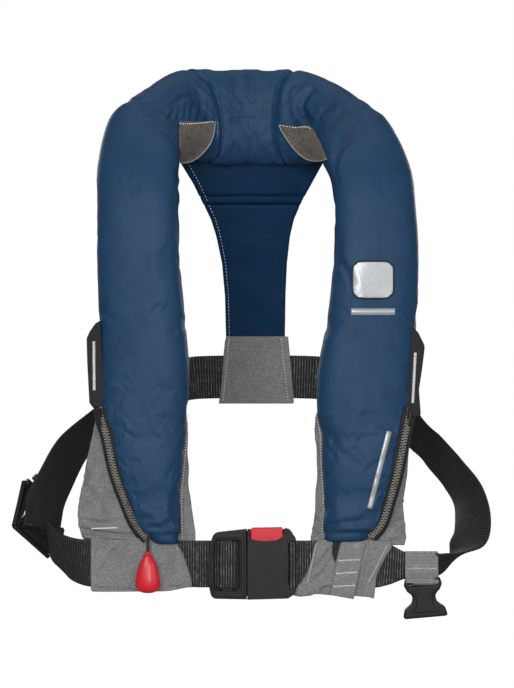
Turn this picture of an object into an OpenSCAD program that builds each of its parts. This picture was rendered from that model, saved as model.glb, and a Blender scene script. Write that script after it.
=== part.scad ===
// Inflatable life jacket: a folded bladder in a horseshoe cover, worn on a waist belt.
// Millimetres. +X is the wearer's left, +Y the wearer's back, +Z up.
// The origin is the centre of the back plate's rear face.

/* [Cover] */
// Thickness of the cover's cloth and lining
cover_wall = 2.5; // [1.5:0.5:4]
// Points round one cross-section of the cover
cover_points = 28; // [20:4:36]
// Squareness of the cover's cross-section, 2 is an ellipse
squareness = 3; // [2.2:0.2:4]

/* [Harness] */
// Width of the belt webbing
webbing_w = 48; // [44:1:50]
// Thickness of the belt webbing
webbing_t = 2.2; // [1.5:0.1:2.6]
// Height of the back plate
plate_h = 75; // [65:1:85]
// Thickness of the back plate
plate_t = 8; // [7:0.5:12]
// Height of the belt's middle line on the chest, below the origin
belt_drop = 197; // [194:1:199]

/* [Buckle] */
// Height of the buckle
buckle_h = 70; // [66:1:72]
// Depth of the buckle housing
housing_t = 16; // [14:1:18]
// Length of the tongue inside the housing
tongue_l = 22; // [16:1:22]
// Travel of the red release button
button_travel = 4; // [2:0.5:5]

/* [Inflation] */
// Diameter of the gas cylinder
cylinder_d = 30; // [24:1:31]
// Length of the gas cylinder's straight wall
cylinder_l = 112; // [90:1:115]
// Diameter of the inflator's bore
bore_d = 10.2; // [9:0.1:12]
// Bore of the oral tube
oral_bore = 9; // [7:0.5:10]

/* [Hidden] */
$fn = 48;
gap = 0.4;

navy = "#24466b";
deep_navy = "#17304f";
grey_cloth = "#6f6f6f";
taupe = "#6b625a";
black = "#232323";
pale_webbing = "#a9a9a6";
steel = "silver";
red = "#dc2638";
yellow = "gold";

// The cover's path from the bottom of the left lobe to the middle of the collar.
// Each row: x, y, z, width, thickness, lean of the width line, wrap of the width line.
stations = [
  [ 97.5, -211, -167,  41, 44,  0,  0],
  [  104, -206, -130,  62, 48,  0,  0],
  [  108, -206,  -99,  71, 48,  0,  0],
  [  111, -204,  -66,  82, 50,  0,  1],
  [  113, -203,  -40,  90, 50,  0,  4],
  [  114, -203,    2,  92, 50,  0,  8],
  [  118, -203,   56,  90, 50,  0, 10],
  [  122, -203,  113,  86, 50,  0, 10],
  [  122, -197,  174,  83, 50,  0, 10],
  [  120, -182,  208,  81, 49,  5, 10],
  [  117, -152,  249,  80, 48, 20,  8],
  [   95, -112,  269,  78, 48, 50,  4],
  [   65,  -80,  275,  93, 48, 72,  0],
  [    0,  -60,  277, 103, 48, 90,  0]];
collar_mid = len(stations) - 1;
seam = 12.25;

// ---- Maths shared by the soft parts ----

function unit(v) = v / norm(v);
function mix(a, b, t) = a + (b - a) * t;
function smooth(t) = let (c = min(1, max(0, t))) c * c * (3 - 2 * c);

// A station past the middle of the collar is the mirror image of one before it.
function station(i) =
  i < 0 ? 2 * stations[0] - stations[1]
  : i <= collar_mid ? stations[i]
  : let (m = stations[2 * collar_mid - i])
    [-m[0], m[1], m[2], m[3], m[4], 180 - m[5], m[6]];

// Smooth (Catmull-Rom) value of a row of numbers between two stations
function spline(a, b, c, d, t) =
  b + (c - a) * t / 2 + (2 * a - 5 * b + 4 * c - d) * t * t / 2 + (3 * b - a - 3 * c + d) * t * t * t / 2;
function row(s) =
  let (i = floor(s))
  spline(station(i - 1), station(i), station(i + 1), station(i + 2), s - i);

function centre(s) = let (r = row(s)) [r[0], r[1], r[2]];
function along(s) = unit(centre(s + 0.02) - centre(s - 0.02));
function across(s) =
  let (r = row(s))
  unit([cos(r[5]) * cos(r[6]), sin(r[6]), sin(r[5]) * cos(r[6])]);
function inward(s) = unit(cross(along(s), across(s)));

// A point of the cover's skin at station s and angle a: 0 is the outer edge, -90 the front.
function rounded(v) = sign(v) * pow(abs(v), 2 / squareness);
function skin(s, a, off = 0) =
  let (r = row(s))
  centre(s)
  + across(s) * (r[3] / 2 + off) * rounded(cos(a))
  + inward(s) * (r[4] / 2 + off) * rounded(sin(a));
function outward(s, a) = unit(skin(s, a, 1) - skin(s, a, 0));

function ring(s, off) =
  [for (k = [0 : cover_points - 1]) skin(s, 360 * k / cover_points, off)];
function span(from, to, steps) = [for (k = [0 : steps]) mix(from, to, k / steps)];

// A closed solid through rings of equal length. A looped solid joins its last ring to its first.
module loft(rings, looped = false) {
  n = len(rings[0]);
  count = len(rings);
  last = looped ? count : count - 1;
  sides = [for (i = [0 : last - 1], k = [0 : n - 1])
    let (a = i * n + k, b = i * n + (k + 1) % n, c = ((i + 1) % count) * n + k,
         d = ((i + 1) % count) * n + (k + 1) % n)
    each [[a, b, d], [a, d, c]]];
  start = [for (k = [1 : n - 2]) [0, k + 1, k]];
  end = [for (k = [1 : n - 2]) [(count - 1) * n, (count - 1) * n + k, (count - 1) * n + k + 1]];
  polyhedron(
    points = [for (r = rings) each r],
    faces = looped ? sides : concat(sides, start, end),
    convexity = 10);
}

// A hollow length of the cover between two stations, open at both ends
module cover_length(from, to, steps) {
  places = span(from, to, steps);
  loft(concat(
    [for (s = places) ring(s, 0)],
    [for (k = [len(places) - 1 : -1 : 0]) ring(places[k], -cover_wall)]), looped = true);
}

// A sheet lying on the cover, between stations and angles, from low to high above the skin
module cover_patch(from, to, steps, a0, a1, low, high, around = 8) {
  angles = span(a0, a1, around);
  loft([for (s = span(from, to, steps))
    concat(
      [for (a = angles) skin(s, a, high)],
      [for (k = [around : -1 : 0]) skin(s, angles[k], low)])]);
}

// Moves a child onto the cover: its x runs along the lobe, its z points out of the skin.
module on_cover(s, a, off) {
  p = skin(s, a, off);
  x = along(s);
  z = unit(outward(s, a) - x * (outward(s, a) * x));
  y = cross(z, x);
  multmatrix([
    [x[0], y[0], z[0], p[0]], [x[1], y[1], z[1], p[1]], [x[2], y[2], z[2], p[2]]]) children();
}

module on_right() {
  mirror([1, 0, 0]) children();
}

// A flat strap through rows of [middle, direction of its width]
module ribbon(rows, w = webbing_w, t = webbing_t) {
  last = len(rows) - 1;
  loft([for (i = [0 : last])
    let (p = rows[i][0], side = unit(rows[i][1]),
         way = unit(rows[min(last, i + 1)][0] - rows[max(0, i - 1)][0]),
         n = unit(cross(way, side)), u = side * w / 2, v = n * t / 2)
    [p + u + v, p - u + v, p - u - v, p + u - v]]);
}

// A helical spring along +Z
module coil(r, wire, turns, h) {
  per_turn = 14;
  loft([for (k = [0 : turns * per_turn])
    let (a = 360 * k / per_turn, z = mix(wire, h - wire, k / (turns * per_turn)))
    [for (j = [0 : 7])
      let (b = 45 * j)
      [(r + wire * cos(b)) * cos(a), (r + wire * cos(b)) * sin(a), z + wire * sin(b)]]]);
}

// A rectangle with round corners, its middle at the origin
module rounded_rect(w, h, r) {
  square([w - 2 * r, h], center = true);
  square([w, h - 2 * r], center = true);
  for (x = [-1, 1], y = [-1, 1])
    translate([x * (w / 2 - r), y * (h / 2 - r)]) circle(r);
}

// Stands a flat outline up in the XZ plane, its front face at y
module upright(y, t) {
  translate([0, y + t, 0]) rotate([90, 0, 0]) linear_extrude(t) children();
}

// ---- Cover ----

module collar_cover() {
  color(deep_navy) cover_length(seam + 0.01, 2 * collar_mid - seam - 0.01, 12);
}

module lobe_cover() {
  color(navy) cover_length(0, seam, 40);
}

// The panel against the wearer's body below the lobe
panel_y = -176;
panel_t = 4.5;
module back_panel(outer_x) {
  color(grey_cloth) upright(panel_y, panel_t) polygon([
    [64, -165], [74, -120], [76, -20], [outer_x - 28, -20], [outer_x - 16, -50],
    [outer_x - 5, -100], [outer_x, -140], [outer_x - 4, -167]]);
}

module neck_gusset() {
  color(taupe) cover_patch(10.2, 12.1, 10, 190, 236, gap, 2.2, 6);
}

yoke_lean = 16;
yoke_h = 190;
module yoke_panel() {
  lower_w = 34;
  flare = 46;
  heights = span(0, yoke_h, 10);
  function half(h) = lower_w + flare * pow(h / yoke_h, 3);
  color(deep_navy)
    translate([0, -2.5, plate_h / 2 + 1.2]) rotate([90 + yoke_lean, 0, 0]) linear_extrude(4)
      polygon(concat(
        [for (h = heights) [half(h), h]],
        [for (k = [len(heights) - 1 : -1 : 0]) [-half(heights[k]), heights[k]]]));
}

// ---- Back of the harness ----

module back_plate() {
  color(grey_cloth) difference() {
    upright(-plate_t, plate_t) polygon([
      [-35, plate_h / 2], [35, plate_h / 2], [41.5, -plate_h / 2], [-41.5, -plate_h / 2]]);
    translate([-60, -plate_t / 2 - 1.5, back_z - 25]) cube([120, 3, 50]);
  }
}

back_z = -8;
back_end = 118;
module back_webbing() {
  y = -plate_t / 2;
  color(black) ribbon([
    [[-back_end, -24, back_z - 14], [0, -0.08, 1]],
    [[-82, -8, back_z - 3], [0, -0.05, 1]],
    [[-46, y, back_z], [0, 0, 1]],
    [[46, y, back_z], [0, 0, 1]],
    [[82, -8, back_z - 3], [0, -0.05, 1]],
    [[back_end, -24, back_z - 14], [0, -0.08, 1]]]);
}

module side_tab() {
  color(black) cover_patch(4.05, 5.9, 10, -28, 26, gap, 9, 6);
}

// The side strap runs from the back webbing down round the waist to the front belt.
belt_y = -212.5;
belt_x = 192;
front_end = 166;
adjuster_mid = [226, -146, -152];
adjuster_way = unit([-3, 40, 41]);
adjuster_side = unit([0.66, -0.5, 0.54]);
function strap_rows() = [
  [[front_end, belt_y, -belt_drop], [0, 0, 1]],
  [[belt_x, belt_y, -belt_drop], [0, 0, 1]],
  [[206, -204, -193], [0.04, -0.2, 0.97]],
  [[217, -190, -186], [0.2, -0.45, 0.87]],
  [[224.5, -172, -176], [0.5, -0.55, 0.65]],
  [adjuster_mid - adjuster_way * 24, adjuster_side],
  [adjuster_mid, adjuster_side],
  [adjuster_mid + adjuster_way * 24, adjuster_side],
  [[216, -112, -112], [0.58, -0.52, 0.63]],
  [[205, -99, -96], [0.53, -0.55, 0.65]],
  [[190, -84, -79], [0.45, -0.45, 0.77]],
  [[170, -66, -61], [0.3, -0.4, 0.87]],
  [[145, -45, -42], [0.15, -0.25, 0.96]],
  [[back_end + 0.8, -24.6, back_z - 14.4], [0, -0.08, 1]]];
module side_strap() {
  color(black) ribbon(strap_rows());
}

// ---- Zips ----

zip_angle = -30;
zip_top = 4;
zip_teeth = 34;
module zip_tape() {
  color(black) cover_patch(0.02, zip_top, 16, zip_angle - 14, zip_angle + 14, gap, 1.6, 4);
}

module zip_teeth() {
  color(steel) for (k = [0 : zip_teeth - 1])
    on_cover(mix(0.12, zip_top - 0.25, k / (zip_teeth - 1)), zip_angle, 3.4)
      cube([2.4, 6, 2.4], center = true);
}

// The slider rests at the top of the zip, in front of the side tab's lower end.
module zip_slider() {
  color(black) on_cover(zip_top - 0.3, zip_angle, 8.4) {
    translate([0, 0, -1]) linear_extrude(2.4) rounded_rect(13, 9, 3);
    translate([-9, 0, 1.4]) linear_extrude(1.6) difference() {
      rounded_rect(22, 7, 3);
      translate([-5, 0]) circle(1.8);
    }
  }
}

// ---- Front belt ----

tunnel_t = 7;
tunnel_top = -170.5;
tunnel_bottom = -227;
module belt_tunnel(outline) {
  color(grey_cloth) difference() {
    upright(belt_y - tunnel_t / 2, tunnel_t) polygon(outline);
    translate([0, belt_y - 1.7, -belt_drop - 25]) cube([300, 3.4, 50]);
  }
}

module right_belt_tunnel() {
  on_right() belt_tunnel([
    [77, tunnel_top], [77, tunnel_bottom], [166, tunnel_bottom], [171, tunnel_top]]);
}

// A slot between the tunnel's two parts shows the belt.
module left_belt_tunnel() {
  belt_tunnel([
    [61, tunnel_top], [47, tunnel_bottom - 3], [117, tunnel_bottom - 3], [132, tunnel_top]]);
}

module left_webbing_tab() {
  y = belt_y - tunnel_t / 2 - gap - 1.8;
  color(pale_webbing) upright(y, 1.8) polygon([
    [90, tunnel_top - 4], [111, tunnel_top - 4], [101, tunnel_bottom - 3], [66, tunnel_bottom - 3]]);
}

// The right belt loops round the buckle frame's bar, and slides in the tunnel with it.
frame_bar_x = -30.5;
frame_bar_w = 12;
frame_y = -223;
frame_t = 9;
bar_t = 5;
moving_end = -138;
module right_front_belt() {
  loop_w = frame_bar_w + 1 + 2 * webbing_t;
  loop_front = frame_y + 0.6;
  loop_back = belt_y + webbing_t / 2;
  color(black) translate([0, 0, -belt_drop - webbing_w / 2]) linear_extrude(webbing_w) {
    translate([frame_bar_x - loop_w / 2, loop_front]) difference() {
      square([loop_w, loop_back - loop_front]);
      translate([webbing_t, webbing_t])
        square([loop_w - 2 * webbing_t, loop_back - loop_front - 2 * webbing_t]);
    }
    translate([moving_end, belt_y - webbing_t / 2])
      square([frame_bar_x - moving_end, webbing_t]);
  }
}

// The left belt loops round the housing's strap bar.
housing_bar_x = 37;
housing_bar_w = 4;
module left_front_belt() {
  loop_w = housing_bar_w + 0.8 + 2 * webbing_t;
  loop_front = frame_y + 1;
  loop_back = belt_y + webbing_t / 2;
  color(black) translate([0, 0, -belt_drop - webbing_w / 2]) linear_extrude(webbing_w) {
    translate([housing_bar_x - loop_w / 2, loop_front]) difference() {
      square([loop_w, loop_back - loop_front]);
      translate([webbing_t, webbing_t])
        square([loop_w - 2 * webbing_t, loop_back - loop_front - 2 * webbing_t]);
    }
    translate([housing_bar_x, belt_y - webbing_t / 2])
      square([front_end - 0.8 - housing_bar_x, webbing_t]);
  }
}

// A three-bar slider: the strap runs behind its bars, between two keepers.
module strap_adjuster() {
  x = -adjuster_way;
  y = cross(adjuster_side, x);
  p = adjuster_mid;
  color(black) on_right()
    multmatrix([
      [x[0], adjuster_side[0], y[0], p[0]],
      [x[1], adjuster_side[1], y[1], p[1]],
      [x[2], adjuster_side[2], y[2], p[2]]])
      difference() {
        translate([0, 0, -4]) linear_extrude(9) difference() {
          rounded_rect(34, 60, 5);
          for (side = [-1, 1])
            translate([side * 7.5, 0]) square([8, 46], center = true);
        }
        cube([60, 50, 3.2], center = true);
      }
}

// ---- Buckle ----

tongue_w = 36;
joint_x = -10;
housing_x = 40;
button_x = [-8, 28];
button_top = -160.5;
button_h = 12;
button_y = frame_y + 1.5;
button_t = housing_t - 3;

module buckle_frame() {
  left_x = -50;
  w = joint_x - 0.4 - left_x;
  color(black) {
    upright(frame_y, frame_t) difference() {
      translate([left_x + w / 2, -belt_drop - 0.5]) union() {
        rounded_rect(w, buckle_h, 9);
        translate([w / 2 - 10, -buckle_h / 2]) square([10, buckle_h]);
      }
      translate([-42.6, -belt_drop - 26]) square([24.6, 52]);
    }
    upright(frame_y + 3, bar_t - 0.8)
      translate([frame_bar_x - frame_bar_w / 2, -belt_drop - 27]) square([frame_bar_w, 54]);
    upright(frame_y + 2.5, 4) difference() {
      translate([joint_x - 4, -belt_drop - tongue_w / 2]) square([tongue_l + 4, tongue_w]);
      translate([joint_x + tongue_l - 8, -belt_drop]) circle(4);
    }
  }
}

notch_z = -172.7;
module buckle_housing() {
  left_x = joint_x;
  w = housing_x - left_x;
  color(black) {
    upright(frame_y + 3.6, 4.4)
      translate([housing_bar_x - housing_bar_w / 2, -belt_drop - 27]) square([housing_bar_w, 54]);
    difference() {
      upright(frame_y, housing_t) translate([left_x + w / 2, -belt_drop - 0.5]) {
        rounded_rect(w, buckle_h, 9);
        translate([-w / 2, -buckle_h / 2]) square([10, buckle_h]);
      }
      // Mouth for the tongue
      translate([left_x - 1, frame_y + 2, -belt_drop - tongue_w / 2 - 0.5])
        cube([tongue_l + 3, 5, tongue_w + 1]);
      // Well for the button and its spring
      translate([button_x[0] - 0.3, button_y - 0.3, button_top - button_h - button_travel - 1])
        cube([button_x[1] - button_x[0] + 0.6, button_t + 0.6, 40]);
      // Notch in the front wall that shows the button, between two lips that hold it in
      upright(frame_y - 1, button_y - frame_y + 1)
        translate([mix(button_x[0], button_x[1], 0.5), notch_z + 20])
          rounded_rect(button_x[1] - button_x[0] - 2.8, 40, 6);
      // Opening at the strap end, for the belt's loop
      translate([housing_bar_x - 5, frame_y - 1, -belt_drop - 25]) cube([20, housing_t + 2, 50]);
    }
  }
}

module release_button() {
  color(red) difference() {
    translate([button_x[0], button_y, button_top - button_h])
      cube([button_x[1] - button_x[0], button_t, button_h]);
    // Pocket for the spring
    translate([mix(button_x[0], button_x[1], 0.5), button_y + button_t / 2, button_top - button_h - 1])
      cylinder(r = 4.2, h = 7);
  }
}

module button_spring() {
  floor_z = button_top - button_h - button_travel - 1;
  color(steel)
    translate([mix(button_x[0], button_x[1], 0.5), button_y + button_t / 2, floor_z + 0.1])
      coil(3.2, 0.4, 5, button_travel + 1 + 6 - 0.2);
}

// ---- Crotch strap clip ----

clip_axis = [169.5, -221, -214];
loop_t = 1.8;
// A webbing loop round the belt, with a small loop in front for the clip's cross-bar
module clip_loop() {
  w = 35;
  bar_w = 26;
  inner_t = webbing_t + 1;
  inner_h = webbing_w + 1;
  small = 6.4;
  color(pale_webbing) {
    translate([clip_axis[0] - w / 2, belt_y, -belt_drop]) rotate([90, 0, 90]) linear_extrude(w)
      difference() {
        square([inner_t + 2 * loop_t, inner_h + 2 * loop_t], center = true);
        square([inner_t, inner_h], center = true);
      }
    translate([clip_axis[0] - bar_w / 2, clip_axis[1], clip_axis[2]]) rotate([90, 0, 90])
      linear_extrude(bar_w) difference() {
        union() {
          circle(r = small / 2 + loop_t);
          translate([0, -small / 2 - loop_t])
            square([belt_y - clip_axis[1] - 3.4, small + 2 * loop_t]);
        }
        circle(r = small / 2);
      }
  }
}

// The female half of a side-release buckle, hanging mouth down from its cross-bar
module crotch_clip() {
  w = 36;
  post = 3.6;
  t = 9.6;
  color(black) translate(clip_axis) difference() {
    union() {
      for (side = [-1, 1]) translate([side * (w - post) / 2, 0, 0]) {
        rotate([0, 90, 0]) cylinder(r = t / 2, h = post, center = true);
        translate([0, 0, -4]) cube([post, t, 8], center = true);
      }
      rotate([0, 90, 0]) cylinder(r = 2.2, h = w - post, center = true);
      upright(-t / 2, t) {
        translate([-w / 2, -12]) square([w, 6]);
        translate([-10.5, -31]) square([21, 22]);
        translate([0, -31.5]) rounded_rect(45, 11, 3);
      }
    }
    // Mouth for the mating half's prongs
    translate([-8.5, -3, -40]) cube([17, 6, 26]);
  }
}

// ---- Inflation system ----

axis_x = -98;
axis_y = -206;
body_top = -100;
body_bottom = -141;
body_w = 26;
oral_x = 98;
tail_y = 17;

// The folded bladder fills the cover, and thins to a tail behind the inflator and oral tube.
function bladder_ring(s) =
  let (near = collar_mid - abs(s - collar_mid), r = row(s), full = smooth((near - 5.75) / 0.8),
       w = mix(40, r[3] - 14, full), t = mix(3.4, r[4] - 14, full), back = mix(tail_y, 0, full))
  [for (k = [0 : 19])
    let (a = 18 * k)
    centre(s) + inward(s) * back + across(s) * w / 2 * rounded(cos(a)) + inward(s) * t / 2 * rounded(sin(a))];
module bladder() {
  first = 1.15;
  color(yellow) loft([for (s = span(first, 2 * collar_mid - first, 64)) bladder_ring(s)]);
}

module at_inflator(z) {
  translate([axis_x, axis_y, z]) children();
}

lever_z = -122;
lever_x = -99;
lever_front = axis_y - 18.6;
module inflator_body() {
  color(black) difference() {
    at_inflator(body_bottom) linear_extrude(body_top - body_bottom) rounded_rect(body_w, body_w, 4);
    // Through bore for the firing pin, with a neck at the top and a cartridge seat below
    at_inflator(body_bottom - 1) cylinder(d = bore_d, h = body_top - body_bottom + 2);
    at_inflator(body_top - 12) cylinder(d = 13.2, h = 13);
    at_inflator(body_bottom - 1) cylinder(d = 16.2, h = 8);
    // Hole for the lever's pin
    translate([lever_x, axis_y - body_w / 2 - 1, lever_z]) rotate([-90, 0, 0]) cylinder(r = 2, h = 6);
  }
}

module inflator_manifold() {
  color("dimgray") translate([axis_x, axis_y + body_w / 2 + 0.1, -112]) rotate([-90, 0, 0])
    cylinder(r = 11, h = 1.4);
}

module lever_pin() {
  color(steel) translate([lever_x, axis_y - body_w / 2 + 4.9, lever_z]) rotate([90, 0, 0])
    cylinder(r = 1.98, h = 11.6);
}

// Pulling the lanyard turns this lever, and its cam lifts the firing pin.
module firing_lever() {
  color(red) difference() {
    upright(lever_front, 5) union() {
      translate([lever_x, lever_z]) circle(6);
      polygon([
        [lever_x - 1, lever_z + 6], [-114.5, -131], [-114.5, -134], [-110, -134], [lever_x, lever_z - 6]]);
    }
    translate([lever_x, lever_front - 1, lever_z]) rotate([-90, 0, 0]) cylinder(r = 2.05, h = 8);
  }
}

module firing_pin() {
  color(steel) {
    at_inflator(-133) cylinder(d = bore_d - 0.12, h = 4);
    at_inflator(-129.1) cylinder(d = 5, h = 10);
    at_inflator(-119.2) cylinder(r1 = 2.5, r2 = 0.4, h = 5);
  }
}

module firing_spring() {
  color(steel) at_inflator(-128.9) coil(3.7, 0.5, 6, 19.7);
}

module auto_cartridge() {
  color("gold") {
    at_inflator(-163) cylinder(d = 25, h = 21.5);
    at_inflator(-141.6) cylinder(d = 16, h = 6.8);
  }
}

// Half outline of the gas cylinder: neck, shoulder, wall and round end
module cylinder_half(neck_r, r, neck_bottom) {
  translate([0, neck_bottom]) square([neck_r, 14]);
  polygon([[0, 1], [neck_r, 4], [r, 14], [0, 14]]);
  translate([0, 14]) square([r, cylinder_l]);
  intersection() {
    translate([0, 14 + cylinder_l]) circle(r);
    translate([0, 14 + cylinder_l]) square([r, r]);
  }
}
module co2_cylinder() {
  wall = 1.8;
  r = cylinder_d / 2;
  neck_r = 6.53;
  color(steel) at_inflator(body_top) rotate_extrude() difference() {
    cylinder_half(neck_r, r, -9);
    cylinder_half(neck_r - wall, r - wall, -7);
  }
}

cord_x = -111.7;
cord_y = -223.5;
toggle_top = -186;
module pull_lanyard() {
  color(black) translate([cord_x, cord_y, toggle_top + 0.2]) cylinder(r = 1.25, h = 51, $fn = 24);
}

// A teardrop handle, flattened front to back
module pull_toggle() {
  half_h = 20;
  steps = 18;
  function half_w(t) = 12 * pow(sin(180 * pow(t, 1.55)), 0.72) + 2.2 * (1 - t);
  color(red) translate([cord_x, cord_y, toggle_top])
    loft([for (k = [0 : steps])
      let (t = k / steps, w = max(0.6, half_w(t)), z = -2 * half_h * t)
      [for (j = [0 : 23]) [w * cos(15 * j), -0.56 * w * sin(15 * j), z]]]);
}

module oral_tube() {
  color(yellow) difference() {
    union() {
      translate([oral_x, axis_y, -124]) cylinder(d = oral_bore + 4, h = 64);
      translate([oral_x, axis_y, -66]) rotate([-90, 0, 0]) cylinder(d = oral_bore + 4, h = 13.5);
      translate([oral_x, axis_y + 12, -66]) rotate([-90, 0, 0]) cylinder(r = 13, h = 1.5);
    }
    // The wide bore guides the valve, and the shoulder above it holds the spring.
    translate([oral_x, axis_y, -125]) cylinder(d = oral_bore, h = 18);
    translate([oral_x, axis_y, -108]) cylinder(d = oral_bore - 3, h = 43);
    translate([oral_x, axis_y, -66]) rotate([-90, 0, 0]) cylinder(d = oral_bore - 3, h = 14);
  }
}

module oral_valve() {
  color("white") {
    translate([oral_x, axis_y, -125.5]) cylinder(d = oral_bore - 0.1, h = 4);
    translate([oral_x, axis_y, -121.6]) cylinder(d = 3, h = 12);
  }
}

module valve_spring() {
  color(steel) translate([oral_x, axis_y, -121.4]) coil(3.4, 0.4, 5, 14.3);
}

module oral_cap() {
  color(yellow) difference() {
    translate([oral_x, axis_y, -134]) cylinder(r = 9, h = 16);
    translate([oral_x, axis_y, -127.5]) cylinder(d = oral_bore + 4.2, h = 20);
  }
}

whistle_x = 124;
eye_z = -57;
module whistle() {
  color("orange") difference() {
    translate([whistle_x, axis_y + 1, -92]) linear_extrude(40) rounded_rect(13, 9, 3);
    translate([whistle_x - 3.4, axis_y - 1, -93]) cube([6.8, 4, 30]);
    translate([whistle_x - 3, axis_y - 10, -76]) cube([6, 10, 4]);
    translate([whistle_x, axis_y - 10, eye_z]) rotate([-90, 0, 0]) cylinder(r = 3, h = 20);
  }
}

// A cord ring through the whistle's eye
module whistle_lanyard() {
  ring_r = 8;
  color(black) translate([whistle_x, axis_y + 1, eye_z + ring_r]) rotate([0, 90, 0]) rotate_extrude()
    translate([ring_r, 0]) circle(r = 1.1, $fn = 16);
}

// A plain reflective patch on the left lobe
module chest_patch() {
  color("lightgray") cover_patch(6.35, 7.05, 8, -124, -62, gap, 1.4, 8);
}

collar_cover();
on_right() lobe_cover();  // right_lobe_cover
lobe_cover();  // left_lobe_cover
on_right() back_panel(186);  // right_back_panel
back_panel(168);  // left_back_panel
on_right() neck_gusset();  // right_neck_gusset
neck_gusset();  // left_neck_gusset
yoke_panel();
back_plate();
back_webbing();
on_right() side_tab();  // right_side_tab
side_tab();  // left_side_tab
on_right() side_strap();  // right_side_strap
side_strap();  // left_side_strap
on_right() zip_tape();  // right_zip_tape
zip_tape();  // left_zip_tape
on_right() zip_teeth();  // right_zip_teeth
zip_teeth();  // left_zip_teeth
on_right() zip_slider();  // right_zip_slider
zip_slider();  // left_zip_slider
right_belt_tunnel();
left_belt_tunnel();
right_front_belt();
left_front_belt();
strap_adjuster();
left_webbing_tab();
clip_loop();
crotch_clip();
buckle_frame();
buckle_housing();
release_button();
button_spring();
bladder();
inflator_body();
inflator_manifold();
lever_pin();
firing_lever();
firing_pin();
firing_spring();
auto_cartridge();
co2_cylinder();
pull_lanyard();
pull_toggle();
oral_tube();
oral_valve();
valve_spring();
oral_cap();
whistle();
whistle_lanyard();
chest_patch();
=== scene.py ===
"""Looks for an inflatable life jacket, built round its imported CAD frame.

Sizes in this file are millimetres in the frame's axes: +X is the wearer's left, +Y the wearer's
back, +Z up. put() turns them into metres.
"""
import math
import bpy
import numpy as np
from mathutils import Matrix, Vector, noise
from mathutils.bvhtree import BVHTree


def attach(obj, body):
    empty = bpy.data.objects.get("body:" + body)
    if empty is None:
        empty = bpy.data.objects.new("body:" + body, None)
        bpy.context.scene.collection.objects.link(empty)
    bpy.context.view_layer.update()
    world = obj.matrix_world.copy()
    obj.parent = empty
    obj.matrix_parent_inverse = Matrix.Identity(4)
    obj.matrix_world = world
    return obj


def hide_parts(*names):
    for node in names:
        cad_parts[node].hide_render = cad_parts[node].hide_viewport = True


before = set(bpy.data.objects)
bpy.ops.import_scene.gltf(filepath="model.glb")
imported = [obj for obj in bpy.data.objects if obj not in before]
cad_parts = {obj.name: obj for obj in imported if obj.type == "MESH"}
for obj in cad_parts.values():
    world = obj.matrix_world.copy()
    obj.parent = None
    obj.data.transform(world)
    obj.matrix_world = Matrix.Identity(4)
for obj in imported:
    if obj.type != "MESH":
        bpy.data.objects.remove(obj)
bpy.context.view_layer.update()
MM = 0.001


# ---- Small maths ----

def unit(v):
    v = np.asarray(v, float)
    return v / np.maximum(np.linalg.norm(v, axis=-1, keepdims=True), 1e-9)


def smooth(t):
    t = np.clip(t, 0, 1)
    return t * t * (3 - 2 * t)


def squared(wave, power):
    """Bends a sine or cosine towards a square wave, or towards a point where power is over 1."""
    return np.sign(wave) * np.abs(wave) ** power


def walk(path):
    """Distance along a path at each of its points."""
    return np.concatenate([[0], np.cumsum(np.linalg.norm(np.diff(path, axis=0), axis=1))])


def whole_turn(count):
    """Evenly spaced angles round a circle, in radians."""
    return np.linspace(0, 2 * math.pi, count, endpoint=False)


def straight(a, b, count=30):
    return np.linspace(a, b, count)


def catmull(rows, at):
    """Smooth values between rows, at fractional row numbers."""
    rows = np.asarray(rows, float)
    at = np.asarray(at, float)
    last = len(rows) - 1
    i = np.clip(np.floor(at).astype(int), 0, last - 1)
    f = (at - i)[..., None]
    a, b, c, d = (rows[np.clip(i + k, 0, last)] for k in (-1, 0, 1, 2))
    return b + (c - a) * f / 2 + (2 * a - 5 * b + 4 * c - d) * f**2 / 2 + (3 * b - a - 3 * c + d) * f**3 / 2


def resample(points, step, closed=False):
    """A smooth path through points, with a point about every step."""
    points = np.asarray(points, float)
    if closed:
        points = np.vstack([points[-1], points, points[0], points[1]])
        fine = catmull(points, np.linspace(1, len(points) - 2, 40 * len(points)))
    else:
        fine = catmull(points, np.linspace(0, len(points) - 1, 40 * len(points)))
    length = walk(fine[:, :3])
    wanted = np.linspace(0, length[-1], max(2, int(round(length[-1] / step)) + 1))
    return np.stack([np.interp(wanted, length, fine[:, k]) for k in range(fine.shape[1])], axis=1)


def bumps(points, size, seed=0.0):
    """Smooth noise, about -1 to 1, at each point of a grid."""
    flat = np.asarray(points, float).reshape(-1, 3) / size + seed
    values = [noise.noise(Vector(p)) for p in flat]
    return np.array(values).reshape(np.asarray(points).shape[:-1])


# ---- Materials ----

def linear(colour):
    """A #rrggbb colour as linear red, green, blue and alpha."""
    parts = [int(colour[i:i + 2], 16) / 255 for i in (1, 3, 5)]
    return [c / 12.92 if c <= 0.04045 else ((c + 0.055) / 1.055) ** 2.4 for c in parts] + [1]


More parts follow.
